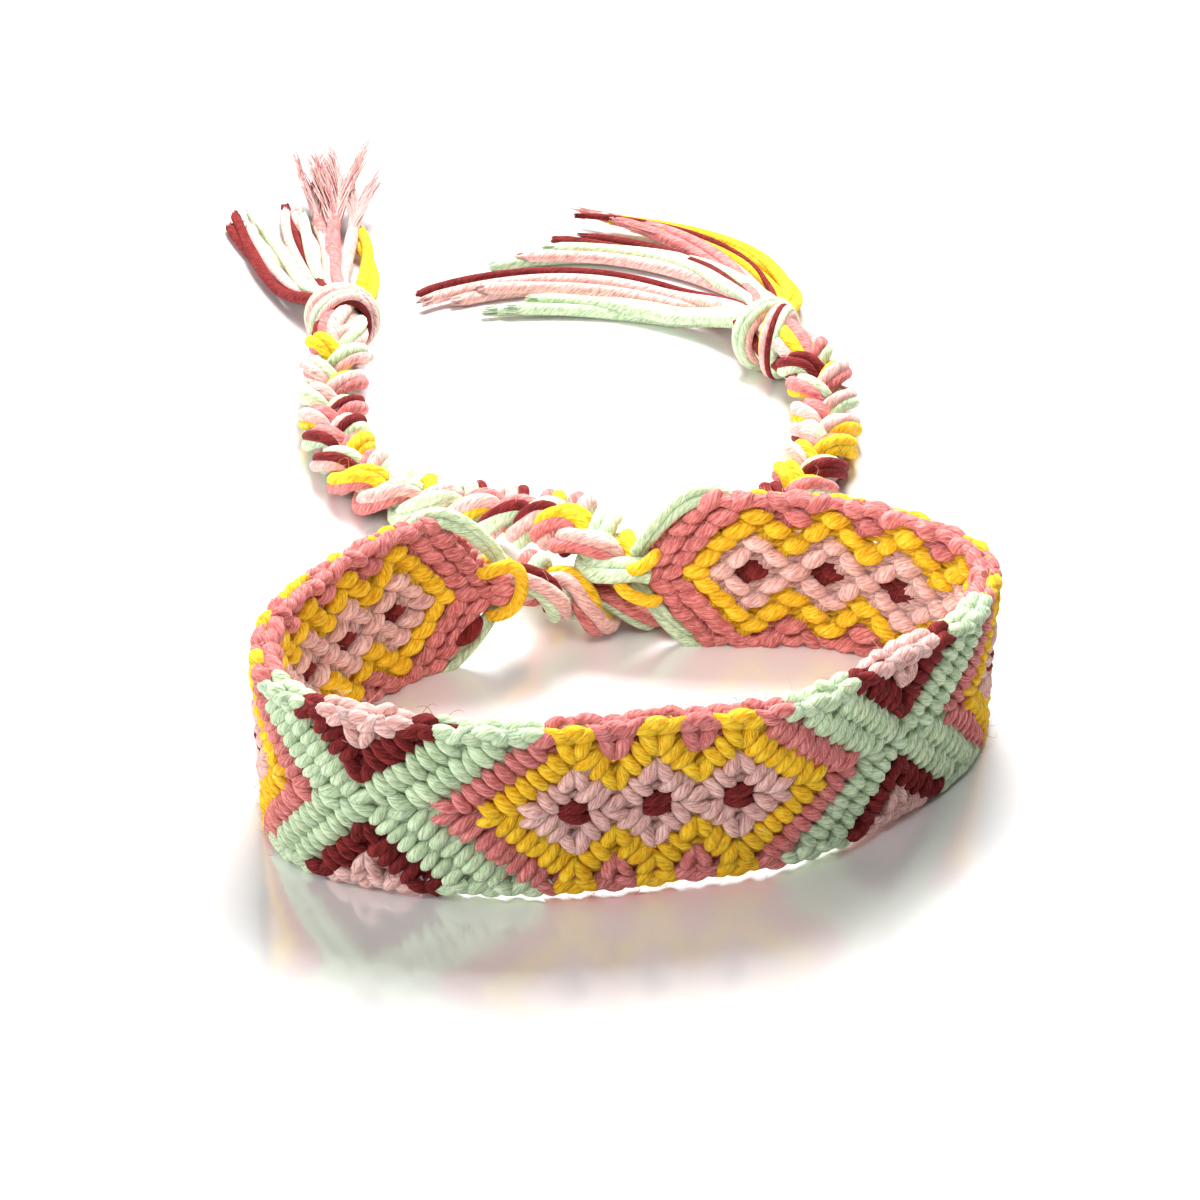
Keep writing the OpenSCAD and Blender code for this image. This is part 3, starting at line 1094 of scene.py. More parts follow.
    def _loops(self, face: KnotFace, yarn: Yarn, rows: np.ndarray) -> None:
        """Makes the loops of one yarn on one face.

        Args:
            face: The face.
            yarn: The yarn.
            rows: Column, level, shift along and up, direction along and up, one row a loop.
        """
        count = len(rows)
        style = self.STYLES[face]
        wobble = self.shop.chance.normal(0.0, 1.0, (count, 6))
        along, up = (rows[:, 2:4] + self.place_wobble * wobble[:, :2]).T
        half = rows[:, 0] - self.chart.first + along / self.shape.step
        level = rows[:, 1] + up / self.shape.rise
        inset = self.red_inset if face is KnotFace.INNER and yarn is Yarn.DARK_RED else 0.0
        out = face.value * (self.loop_out - inset + self.out_wobble * wobble[:, 2])
        points = self.shape.place(half, level, out)
        angle = np.arctan2(rows[:, 5], rows[:, 4]) + style.turn * wobble[:, 3]
        ahead = self.shape.ahead(half)
        grain = np.cos(angle)[:, None] * ahead + np.sin(angle)[:, None] * UP
        facing = face.value * self.shape.outward(half)
        size = (1.0 + style.uneven * wobble[:, 4:6])[:, [0, 1, 1]]
        mesh = bpy.data.meshes.new("loop_places")
        mesh.from_pydata((points * MM).tolist(), [], [])
        for name, values in (("grain", grain), ("facing", facing), ("size", size)):
            attribute = mesh.attributes.new(name, "FLOAT_VECTOR", "POINT")
            attribute.data.foreach_set("vector", values.ravel())
        tint = mesh.attributes.new("tint", "FLOAT", "POINT")
        tint.data.foreach_set("value", self.shop.chance.random(count))
        piece = self.shop.loops.apply(
            mesh,
            f"{face.name.lower()}_knots_{yarn.value}",
            Loop_length=style.length * MM,
            Loop_thickness=style.thickness * MM,
            Loop_sink=self.loop_sink * MM,
            Rings=self.loop_rings,
            Sides=BAND_SIDES,
            Material=self.shop.materials[yarn],
        )
        self.shop.finish_piece(piece, yarn, "knotted_band")

    def _carriers(self) -> None:
        """Makes the slanting threads inside the band, and short ones that fill its openings, all
        darkened by painted shade.
        """
        paths = ThreadPaths()
        chart, shape = self.chart, self.shape
        cells = set(chart.cells())
        steps = np.linspace(0.0, 1.0, 3)
        for column, level in sorted(cells):
            for rise in (-1, 1):
                if (column + 1, level + rise) not in cells:
                    continue
                half = column - chart.first + steps
                points = shape.place(half, level + rise * steps, self.carrier_out * rise)
                paths.add(chart.yarn(column, level), points, self.carrier_d, self.INNER_SHADE_TINT)
        for column in range(chart.first, chart.last + 1):
            for level in range(-chart.levels, chart.levels + 1):
                sides = ((-1, 0), (1, 0), (0, -1), (0, 1))
                near = [(column + x, level + y) for x, y in sides if (column + x, level + y) in cells]
                if (column + level) % 2 == 0 or len(near) < 3:
                    continue
                half = column - chart.first + self.filler_len * (steps - 0.5)
                points = shape.place(half, level, 0.0)
                share = self.pinhole_share if chart.pinhole(column, level) else 1.0
                paths.add(chart.yarn(*near[0]), points, self.filler_d * share, self.INNER_SHADE_TINT)
        self.shop.sweep(paths, "inner_threads", BAND_SIDES, "knotted_band")

    def _edge_loops(self, paths: ThreadPaths) -> None:
        """Adds the threads that bridge the knots along both edges.

        Args:
            paths: Where the threads are gathered.
        """
        steps = np.linspace(0.0, 1.0, 9)
        bow = np.sin(math.pi * steps)
        top = self.chart.levels
        for edge in (-1, 1):
            columns = [c for c, level in self.chart.cells() if level == edge * top]
            for column in columns[:-1]:
                yarn = self.chart.yarn(column, top)
                if yarn is Yarn.DARK_RED:
                    yarn = self.chart.yarn(column + 2, top)
                for side in (-1, 1):
                    peak = side > 0 and column + 1 in self.chart.flowers
                    half = column - self.chart.first + self.edge_start + self.edge_len * steps
                    uneven = self.place_wobble * self.shop.chance.normal()
                    level = edge * (self.edge_level + self.edge_bow * bow + uneven)
                    out = side * (self.edge_out + self.edge_out_bow * bow)
                    points = self.shape.place(half, level, out)
                    wide = self.edge_d * (self.edge_end_share + (1 - self.edge_end_share) * bow)
                    tint = self.shop.chance.random()
                    paths.add(Yarn.YELLOW if peak else yarn, points, wide, tint)

    def _loose_ends(self) -> None:
        """Makes the bare strands beside the pointed ends and the yellow threads round the tips."""
        paths = ThreadPaths()
        self._edge_loops(paths)
        self.shop.sweep(paths, "edge_loops", BAND_SIDES, "knotted_band")
        bare = ThreadPaths()
        ends = ((0.0, 1.0), (float(self.shape.half_knots), -1.0))
        for (tip, inward), upper_bow in zip(ends, self.upper_bows):
            for edge, bow in ((-1, 0.0), (1, upper_bow)):
                self._bare_strand(bare, tip, inward, edge, bow)
        for (tip, inward), loop in zip(ends, (self.LEFT_TIP_THREADS, self.RIGHT_TIP_THREADS)):
            for rows in loop:
                places = np.array(rows) * [inward, 1.0, 1.0] + [tip, 0.0, 0.0]
                self._tip_thread(bare, Yarn.YELLOW, places, self.tip_thread_d, self.shop.chance.random())
        for rows in self.LEFT_TIP_POINT:
            self._tip_thread(bare, Yarn.ROSE, np.array(rows), self.point_d, 0.6)
        self._tip_thread(bare, Yarn.DARK_RED, np.array(self.LEFT_TIP_RED), self.red_tip_d, 0.5)
        self.shop.sweep(bare, "tip_strands", BAND_SIDES)

    def _bare_strand(
        self, bare: ThreadPaths, tip: float, inward: float, edge: int, bow: float
    ) -> None:
        """Adds one bare strand beside a pointed end, of two threads side by side.

        Args:
            bare: Where the threads are gathered.
            tip: Half knot of the tip.
            inward: 1 or -1, the way from the tip into the band.
            edge: 1 for the upper edge, -1 for the lower.
            bow: How far it bows away from the edge.
        """
        inside, level, outward, share = np.array(self.BARE_STRAND).T
        rows = np.column_stack([tip + inward * inside, edge * level + bow * share, outward])
        places = along_rows(rows, np.linspace(0, len(rows) - 1, self.bare_points))
        up, out = self.bare_reach
        for number in range(2):
            angle = number * math.pi + np.linspace(*self.BARE_TURN, self.bare_points)
            aside = np.column_stack([0.0 * angle, up * np.sin(angle), out * np.cos(angle)])
            points = self.shape.place(*(places + aside).T)
            bare.add(Yarn.MINT, points, self.bare_d, self.shop.chance.random())

    def _tip_thread(
        self, bare: ThreadPaths, yarn: Yarn, rows: np.ndarray, wide: float, tint: float
    ) -> None:
        """Adds one short thread with rounded ends through places at a tip."""
        points = self.shape.curve(rows)
        bare.add(yarn, points, wide * rounded_ends(points, wide), tint)


@dataclass(frozen=True)
class Lock:
    """One lock of a tassel, with its form as in the part's source.

    Attributes:
        start_turn: Its direction at the knot, in degrees to the left of the braid's.
        end_turn: Its direction at its end.
        length_share: Its length as a share of tassel_len.
        width_share: Its thickness as a share of lock_d.
        lift: How much its end rises, as a share of knot_d.
        yarns: Yarns of its threads.
        fray: How much their ends are frayed, 0 to 1.
        apart: How far they lie apart.
    """

    start_turn: float
    end_turn: float
    length_share: float
    width_share: float
    lift: float
    yarns: tuple[Yarn, ...]
    fray: float
    apart: float

    # How far past the knot's end and from its middle the locks start
    HEAD_LEN: ClassVar[float] = 1.2
    HEAD_RING: ClassVar[float] = 1.2
    # Shares of its length over which a lock comes to its own middle, and to the floor
    GATHERING: ClassVar[float] = 0.2
    LANDING: ClassVar[float] = 0.4
    # Shares of its length by which threads start in the knot, end before the one beside them,
    # and end before their lock where they are frayed
    ROOT: ClassVar[float] = 0.06
    STAGGER: ClassVar[float] = 0.07
    FRAYED: ClassVar[float] = 0.22
    # Points along a thread, its turn round the lock's middle in radians, how far it sways, and
    # its share of its distance from the middle where it leaves the knot
    POINTS: ClassVar[int] = 54
    TWIST: ClassVar[float] = 2.2
    SWAY: ClassVar[float] = 0.45
    GATHERED: ClassVar[float] = 0.4
    # Thickness of the thickest thread, of dark red beside yellow, and shares of the lock's
    # thickness for a thread alone and for one of several
    THICKEST: ClassVar[float] = 1.5
    FINEST: ClassVar[float] = 0.8
    ALONE: ClassVar[float] = 0.60
    AMONG: ClassVar[float] = 0.68

    @property
    def length(self) -> float:
        """Its length."""
        return SIZES.tassel_len * self.length_share

    @property
    def width(self) -> float:
        """Its thickness."""
        return SIZES.lock_d * self.width_share

    def middle(self, t: np.ndarray) -> np.ndarray:
        """Points of its middle, drawn along +X from the knot.

        Args:
            t: Shares of its length.

        Returns:
            One point for each share.
        """
        bend = self.end_turn - self.start_turn
        turn = np.radians(self.start_turn + bend * t / 2)
        half = np.radians(bend * t / 2)
        arc = np.where(np.abs(half) < 0.009, 1.0, np.sin(half) / np.where(half == 0, 1, half))
        chord = self.length * t * arc
        rest = (self.width - SIZES.knot_d) / 2
        z = rest * smooth(t / self.LANDING) + self.lift * SIZES.knot_d * t * np.abs(t)
        start = SIZES.knot_len + SIZES.gap + self.HEAD_LEN
        ahead = np.where(t < 0, self.length * t, chord * np.cos(turn))
        aside = np.where(t < 0, 0.0, chord * np.sin(turn))
        return np.column_stack([start + ahead, aside, z])

    def room(self) -> float:
        """Thickness that each of its threads has room for."""
        return min(self.THICKEST, self.width * (self.AMONG if len(self.yarns) > 1 else self.ALONE))

    def thread_width(self, k: int) -> float:
        """Thickness of a thread, which is less for dark red beside yellow."""
        fine = self.yarns[k] is Yarn.DARK_RED and Yarn.YELLOW in self.yarns
        return self.FINEST if fine else self.room()

    def thread(self, k: int, number: int, around: float) -> tuple[np.ndarray, np.ndarray]:
        """Route of one thread, drawn along +X from the knot.

        Args:
            k: The thread, from 0.
            number: The lock's number in its tassel.
            around: Where the lock starts round the knot's end, in radians.

        Returns:
            Its points, and the share of the lock's length at each.
        """
        last = 1.0 - self.STAGGER * k - self.FRAYED * self.fray
        t = np.linspace(-self.ROOT, last, self.POINTS)
        centre = self.middle(t)
        beside = self.HEAD_RING * (1 - smooth((t + self.ROOT) / self.GATHERING))
        centre[:, 1] += beside * math.cos(around)
        centre[:, 2] += beside * math.sin(around)
        side, above = across(unit(np.gradient(centre, axis=0)))
        reach = (self.width - self.room()) / 2 if len(self.yarns) > 1 else 0.0
        # The threads lie round the lock's middle, turn slowly round it and sway a little
        angle = 2 * math.pi * k / len(self.yarns) + self.TWIST * t + number
        sway = self.SWAY * smooth(t / 0.3) * np.sin(6.0 * t + 1.7 * k + number)
        apart = reach * eased(t, self.GATHERED, (0.0, 0.14, self.apart - self.GATHERED))
        level = apart * np.cos(angle) + sway
        points = shifted(centre, (side, level), (above, reach * np.sin(angle)))
        lowest = self.thread_width(k) / 2 - SIZES.knot_d / 2 + CLEARANCE
        points[:, 2] = np.maximum(points[:, 2], lowest)
        return points, t


@dataclass(frozen=True)
class FrayedEnd:
    """The end of a tassel's thread, with its fine fibres.

    Attributes:
        fray: How much it is frayed, 0 to 1.
        limit: How much an end is frayed before it parts into two wisps.
        count: How many fibres a cut end has, and how many more a fully frayed one.
        reach: How far they reach past it, and how much further when it is fully frayed.
        parting: How far two wisps lean apart.
        lean: How unevenly they lean.
        depth: Least and most points before its end at which the fibres of a wisp leave it.
        bend: How unevenly the fibres bend.
        rise: How much they rise.
        wisp_pale: Share of pale fibres in a well frayed end.
        thin: Least thickness of a fibre, and how much more it may have.
        inside: How far from the thread's middle they leave it, as a share of its thickness.
        low: Least height of a fibre above the floor.
    """

    fray: float
    limit: float = 0.2
    count: tuple[int, int] = (26, 140)
    reach: tuple[float, float] = (0.35, 11.0)
    parting: float = 0.36
    lean: float = 0.06
    depth: tuple[int, int] = (4, 14)
    bend: float = 0.02
    rise: float = 0.14
    wisp_pale: float = 0.75
    thin: tuple[float, float] = (0.16, 0.14)
    inside: float = 0.40
    low: float = 0.12

    @property
    def wisps(self) -> int:
        """How many wisps it parts into."""
        return 2 if self.fray > self.limit else 1

    def taper(self, left: np.ndarray) -> np.ndarray:
        """Shares of the thread's thickness near its end.

        Args:
            left: Lengths that are left to the end.

        Returns:
            One share for each length.
        """
        # It thins out into wisps over its last 8 mm, and is rounded off over 1.6 mm where it is cut
        if self.wisps > 1:
            return eased(left, 0.12, (0.0, 8.0, 0.88))
        return 0.35 + 0.65 * np.sqrt(np.clip(left / 1.6, 0.0, 1.0))

    def fibres(
        self, yarn: Yarn, points: np.ndarray, wide: float, chance: np.random.Generator
    ) -> Iterator[tuple[Yarn, np.ndarray, np.ndarray, float]]:
        """Makes the fibres one by one.

        Args:
            yarn: The thread's yarn.
            points: The thread's points, drawn along +X from the knot.
            wide: The thread's diameter.
            chance: Random numbers.

        Returns:
            For each fibre its yarn, points, thickness and tint.
        """
        wisps, fray = self.wisps, self.fray
        ahead = unit(points[-1] - points[-5])
        side, above = across(ahead)
        apart = self.parting * fray * (np.arange(wisps) - (wisps - 1) / 2)
        lean = apart + chance.normal(0, self.lean, wisps)
        reach = (1.0 + 0.6 * chance.random(wisps)) * (self.reach[0] + self.reach[1] * fray)
        steps = np.linspace(0.0, 1.0, 9)
        for number in range(int(self.count[0] + self.count[1] * fray)):
            wisp = number % wisps
            angle = chance.random() * 2 * math.pi
            share = math.sqrt(chance.random()) * self.inside
            back = -2 if wisps == 1 else -int(chance.integers(self.depth[0], self.depth[1] + 1))
            offset = wide * share * (math.cos(angle) * side + math.sin(angle) * above)
            run = (0.55 + 0.45 * chance.random()) * reach[wisp] * steps
            fan = lean[wisp] * steps + self.bend * chance.normal() * np.sin(4 * steps)
            fibre = shifted(
                points[back],
                (offset, 1 - 0.85 * smooth(2 * fray) * steps),
                (ahead, run),
                (side, run * (fan + self.bend * chance.normal())),
                (above, run * self.rise * fray * steps),
            )
            fibre[:, 2] = np.maximum(fibre[:, 2], self.low - SIZES.knot_d / 2)
            thick = (self.thin[0] + self.thin[1] * chance.random()) * (1 - 0.6 * steps)
            pale = fray > 0.5 and chance.random() < self.wisp_pale
            yield Yarn.PALE_PINK if pale else yarn, fibre, thick, chance.random()


@dataclass
class BraidedTie(Maker):
    """One tie: a braid of three strands of four threads, an overhand knot and a tassel.

    Attributes:
        name: What the tie's pieces are named after.
        end: Half knot of the band's tip that it starts from.
        route: Its route past the tip.
        braid_len: Length of its braid.
        locks: Its tassel's locks.
        strands: Yarns of the threads of each strand.
        collar: Yarns of the threads round the knot's collar, from the tassel's side.
        wrap: Yarns of the threads of the knot's slanting wrap.
        fine: Points of the route for each of its rows.
        ahead_gap: Distance each way over which the tie's direction is measured.
        end_face_share: Overhang of the braid's end faces as a share of strand_d.
        wave_corner: How much the third wave squares the strands' wave.
        wave_slide: How far the strands slide along while they cross, as a share of braid_pitch.
        wave_end_len: Length over which the wave grows or shrinks at the braid's ends.
        wave_ends: Its share where the braid starts and ends.
        wave_past: How far before and past the braid the wave still changes.
        knot_rise_len: Length over which the braid rises to the knot's middle.
        phases: Where each strand is in its wave at the start, in degrees.
        thread_d: Thickness of a braid's thread.
        point_gap: Distance between the points along a thread.
        thread_past: How far the threads reach before and past the braid.
        thread_reach: Distance of the threads from their strand's middle.
        reach_ripple: How much that distance varies, as a share.
        flatness: How much wider and lower than round the threads lie, as shares of it.
        thread_ripple: How much their thickness varies, as a share.
        thread_lay: Length of one turn of the threads round their strand.
        red_share: Thickness of the dark red threads as a share of the others'.
        core_d: Thickness of the hidden threads in the braid's middle.
        core_apart: Distance from one of them to the next.
        core_sway: How far they sway.
        wrap_thread_d: Thickness of the threads round the knot.
        wrap_proud: How far they stand past the knot's solid.
        wrap_sway: How far they sway along it.
        red_wrap_share: Thickness of a dark red one as a share of the others'.
        wrap_points: Points round each of them.
        wrap_slant: Slant of the knot's wrap, in degrees.
        wrap_fan: Where the first thread lies round a wrap, in degrees from its middle.
        knot_core_d: Thickness of the knot's filling.
        bundle_d: Thickness of the threads that run through the knot.
        bundle_rings: Distances of the inner and the outer ones from its middle.
        bundle_before: How far before the knot they start.
        bundle_past: How far past it they end.
    """

    name: str
    end: float
    route: Rows
    braid_len: float
    locks: tuple[Lock, ...]
    strands: tuple[tuple[Yarn, ...], ...]
    collar: tuple[Yarn, ...]
    wrap: tuple[Yarn, ...]

    fine: int = 8
    ahead_gap: float = 0.8
    end_face_share: float = 0.45
    wave_corner: float = 0.17
    wave_slide: float = 0.053
    wave_end_len: float = 3.4
    wave_ends: tuple[float, float] = (0.25, 0.4)
    wave_past: tuple[float, float] = (1.4, 1.6)
    knot_rise_len: float = 14.0
    phases: tuple[float, ...] = (90.0, 210.0, 330.0)
    thread_d: float = 1.36
    point_gap: float = 0.42
    thread_past: tuple[float, float] = (1.5, 2.6)
    thread_reach: float = 0.62
    reach_ripple: float = 0.10
    flatness: tuple[float, float] = (1.12, 0.90)
    thread_ripple: float = 0.08
    thread_lay: float = 31.0
    red_share: float = 0.78
    core_d: float = 1.45
    core_apart: float = 1.15
    core_sway: float = 0.25
    wrap_thread_d: float = 1.02
    wrap_proud: float = 0.05
    wrap_sway: float = 0.07
    red_wrap_share: float = 0.8
    wrap_points: int = 48
    wrap_slant: float = 38.0
    wrap_fan: float = 84.0
    knot_core_d: float = 5.0
    bundle_d: float = 1.60
    bundle_rings: tuple[float, float] = (0.75, 1.85)
    bundle_before: float = 5.5
    bundle_past: float = 2.4

    def __post_init__(self) -> None:
        """Works out the route's table of lengths and points."""
        tip = BandShape().place(self.end, 0.0, 0.0)
        rows = np.array(self.route) * [SIZES.ring_w / 2, SIZES.ring_d / 2, SIZES.braid_t]
        rows = np.vstack([tip, rows])
        self.points = along_rows(rows, np.arange(0, (len(rows) - 1) * self.fine + 1) / self.fine)
        self.lengths = path_lengths(self.points)
        self.end_gap = SIZES.gap + SIZES.strand_d * self.end_face_share
        self.knot_start = self.braid_len + 2 * self.end_gap

    def point(self, s: Numbers) -> np.ndarray:
        """Points of the tie's middle.

        Args:
            s: Lengths from the band's tip.

        Returns:
            One point for each length.
        """
        s = np.asarray(s, float)
        inside = np.maximum(s, 0.0)
        out = np.stack([np.interp(inside, self.lengths, self.points[:, k]) for k in range(3)], -1)
        rise = smooth((s - self.braid_len + self.knot_rise_len) / self.knot_rise_len)
        out[..., 2] += (SIZES.knot_d / 2 - out[..., 2]) * rise
        back = unit(self.points[1] - self.points[0])
        return out + np.minimum(s, 0.0)[..., None] * back

    def ahead(self, s: Numbers) -> np.ndarray:
        """Directions of the tie at lengths from the band's tip."""
        return unit(self.point(s + self.ahead_gap) - self.point(s - self.ahead_gap))

    def strand_point(self, s: Numbers, number: int) -> np.ndarray:
        """Points of the middle of one strand.

        Args:
            s: Lengths along the braid.
            number: The strand, from 0.

        Returns:
            The points.
        """
        u = np.radians(360.0 * s / SIZES.braid_pitch + self.phases[number])
        place = self.end_gap + s - self.wave_slide * SIZES.braid_pitch * np.sin(2 * u)
        side, above = across(self.ahead(np.maximum(self.ahead_gap, place)))
        swing = (SIZES.braid_w - SIZES.strand_d) / 2 / (1 + self.wave_corner)
        lift = (SIZES.braid_t - SIZES.strand_d) / 2
        # The wave is smaller at both ends, where the strands come together
        (first, last), (before, past) = self.wave_ends, self.wave_past
        opening = eased(s, first, (-before, self.wave_end_len, 1 - first))
        closing = eased(-s, last, (-(self.braid_len + past), self.wave_end_len, 1 - last))
        across_wave = swing * (np.sin(u) - self.wave_corner * np.sin(3 * u))
        wave = shifted(np.zeros(3), (side, across_wave), (above, lift * np.sin(2 * u)))
        return shifted(self.point(place), (wave, opening * closing))

    def build(self) -> None:
        """Builds the braid, the knot and the tassel."""
        self._braid()
        self._knot()
        self._tassel()

    def _braid(self) -> None:
        """Makes the threads of the three strands, and hidden ones that fill the braid's middle."""
        paths = ThreadPaths()
        # The threads start under the band's point and end in the knot
        before, past = self.thread_past
        s = np.linspace(-before, self.braid_len + past, int(self.braid_len / self.point_gap))
        for number, yarns in enumerate(self.strands):
            centre = self.strand_point(s, number)
            side, above = across(unit(np.gradient(centre, axis=0)))
            for k, yarn in enumerate(yarns):
                angle = 2 * math.pi * (k / len(yarns) + s / self.thread_lay) + number
                reach = self.thread_reach * (1 + self.reach_ripple * np.sin(s * 0.9 + k))
                level = self.flatness[0] * reach * np.cos(angle)
                height = self.flatness[1] * reach * np.sin(angle)
                points = shifted(centre, (side, level), (above, height))
                ripple = self.thread_ripple * np.sin(s * 1.3 + 2.1 * k + number)
                wide = self.thread_d * (1 + ripple)
                if yarn is Yarn.DARK_RED:
                    wide = self.red_share * wide
                points[:, 2] = np.maximum(points[:, 2], wide / 2 + CLEARANCE)
                paths.add(yarn, points, wide, self.shop.chance.random())
        core = self.end_gap + np.linspace(0.5, self.braid_len - 0.5, int(self.braid_len))
        side, _ = across(self.ahead(core))
        for number, yarn in enumerate((Yarn.MINT, Yarn.PALE_PINK, Yarn.MINT)):
            sway = self.core_sway * np.sin(core * 0.8 + 2 * number)
            points = shifted(self.point(core), (side, self.core_apart * (number - 1) + sway))
            paths.add(yarn, points, self.core_d, self.shop.chance.random())
        nodes = [f"{self.name}_strand_{n}" for n in (1, 2, 3)]
        self.shop.sweep(paths, self.name + "_braid", TIE_SIDES, *nodes)

    def _past(self, local: np.ndarray) -> np.ndarray:
        """Turns points drawn along +X into points past the braid, or back along it.

        Args:
            local: The points, measured from where the knot starts.

        Returns:
            The points where they lie.
        """
        place = self.point(self.knot_start)
        place[2] = SIZES.knot_d / 2
        ahead = unit(self.ahead(self.knot_start) * [1.0, 1.0, 0.0])
        straight = place + local[:, :1] * ahead
        back = self.point(self.knot_start + local[:, 0])
        middle = np.where(local[:, :1] < 0, back, straight)
        return middle + local[:, 1:2] * np.cross(UP, ahead) + local[:, 2:3] * UP

    def _knot(self) -> None:
        """Makes the threads of the overhand knot."""
        paths = ThreadPaths()
        self._wraps(paths)
        self._bundle(paths)
        self.shop.sweep(paths, self.name + "_knot", TIE_SIDES, self.name + "_knot")

    def _wraps(self, paths: ThreadPaths) -> None:
        """Adds the threads of the knot's collar and of its slanting wrap.

        Args:
            paths: Where the threads are gathered.
        """
        turns = np.linspace(0.0, 2 * math.pi, self.wrap_points + 1)[:-1]
        tube = SIZES.wrap_d / 2
        middle = (SIZES.knot_d - SIZES.wrap_d) / 2
        reach = tube - self.wrap_thread_d / 2 + self.wrap_proud
        slant = math.radians(self.wrap_slant)
        wraps = (
            (self.collar, SIZES.knot_len - tube, 0.0),
            (self.wrap, middle * math.sin(slant) + tube, slant),
        )
        for yarns, start, lean in wraps:
            for number, yarn in enumerate(yarns):
                angle = math.radians(self.wrap_fan * (1 - 2 * number / (len(yarns) - 1)))
                out = middle + reach * math.cos(angle)
                x = reach * math.sin(angle) + self.wrap_sway * np.sin(2 * turns + number)
                y = out * np.cos(turns)
                local = np.column_stack([
                    start + x * math.cos(lean) - y * math.sin(lean),
                    x * math.sin(lean) + y * math.cos(lean),
                    out * np.sin(turns),
                ])
                share = self.red_wrap_share if yarn is Yarn.DARK_RED else 1.0
                thick = self.wrap_thread_d * share
                paths.add(yarn, self._past(local), thick, self.shop.chance.random(), ring=True)

    def _bundle(self, paths: ThreadPaths) -> None:
        """Adds the knot's filling and the twelve threads that run through it.

        Args:
            paths: Where the threads are gathered.
        """
        run = np.linspace(-1.2, SIZES.knot_len + 0.6, 24)
        points = self._past(np.column_stack([run, 0 * run, 0 * run]))
        thick = self.knot_core_d * rounded_ends(points, self.knot_core_d)
        paths.add(self.wrap[1], points, thick, self.shop.chance.random())
        # The threads leave the braid together, spread in the knot and draw in again past it
        first, last = -self.bundle_before, SIZES.knot_len + self.bundle_past
        run = np.linspace(first, last, 30)
        spread = eased(run, 0.40, (-5.0, 4.0, 0.80), (2.0, 3.0, -0.25))
        thick = self.bundle_d * eased(run, 0.3, (first, 2.5, 0.7)) * eased(-run, 0.3, (-last, 1.6, 0.7))
        threads = [yarn for strand in self.strands[2:] + self.strands[:2] for yarn in strand]
        for number, yarn in enumerate(threads):
            inner = number % 4 == 0
            ring = self.bundle_rings[0 if inner else 1]
            angle = 2 * math.pi * number / (3 if inner else 12) + 0.09 * run
            local = np.column_stack([run, ring * spread * np.cos(angle), ring * spread * np.sin(angle)])
            paths.add(yarn, self._past(local), thick, self.shop.chance.random())

    def _tassel(self) -> None:
        """Makes the threads of the tassel's locks and their frayed ends."""
        paths, frays = ThreadPaths(), ThreadPaths()
        for number, lock in enumerate(self.locks):
            around = 2 * math.pi * number / len(self.locks)
            for k in range(len(lock.yarns)):
                self._lock_thread(paths, frays, number, k, around)
        self.shop.sweep(paths, self.name + "_tassel", TIE_SIDES, self.name + "_tassel")
        self.shop.sweep(frays, self.name + "_frayed_ends", FRAYED_SIDES)

    def _lock_thread(
        self, paths: ThreadPaths, frays: ThreadPaths, number: int, k: int, around: float
    ) -> None:
        """Adds one thread of a lock and its frayed end.

        Args:
            paths: Where the threads are gathered.
            frays: Where the fibres of frayed ends are gathered.
            number: The lock, from 0.
            k: The thread in it, from 0.
            around: Where the lock starts round the knot's end, in radians.
        """
        chance, lock = self.shop.chance, self.locks[number]
        yarn, wide = lock.yarns[k], lock.thread_width(k)
        points, share = lock.thread(k, number, around)
        ripple = 1 + 0.08 * np.sin(13 * share + k)
        end = FrayedEnd(lock.fray)
        left = (share[-1] - share) * lock.length
        paths.add(yarn, self._past(points), wide * ripple * end.taper(left), chance.random())
        for kind, fibre, thin, tint in end.fibres(yarn, points, wide, chance):
            frays.add(kind, self._past(fibre), thin, tint)


def left_tie(shop: Workshop) -> BraidedTie:
    """The tie from the band's left tip.

    Args:
        shop: Finishes, trees and random numbers.

    Returns:
        The tie.
    """
    rose, mint, yellow, pale, red = Yarn
    return BraidedTie(
        shop,
        name="left_tie",
        end=0.0,
        route=LEFT_TIE_ROUTE,
        braid_len=69.0,
        # Directions at the knot and at the end, length, thickness, lift, yarns, fray, apart
        locks=(
            Lock(-36, 108, 1.22, 0.85, 0.0, (red,), 0.03, 1.0),
            Lock(-22, 102, 1.08, 1.10, 0.0, (pale, pale, pale), 0.08, 1.5),
            Lock(-4, 79, 0.78, 1.10, 0.0, (mint, mint, mint), 0.08, 1.4),
            Lock(-54, 92, 1.20, 1.10, 0.0, (mint, pale, mint, mint), 0.08, 2.2),
            Lock(-48, 54, 1.06, 1.00, 0.0, (red, red), 0.05, 1.2),
            Lock(-48, 42, 1.20, 1.00, 0.1, (rose, rose, pale), 0.3, 1.5),
            Lock(-66, 60, 1.22, 1.00, 0.1, (red, yellow, yellow, yellow), 0.08, 2.6),
        ),
        strands=((yellow, pale, rose, yellow), (red, pale, mint, red), (mint, pale, yellow, rose)),
        collar=(red, mint, mint, mint, pale),
        wrap=(yellow, pale, red, mint, pale),
    )


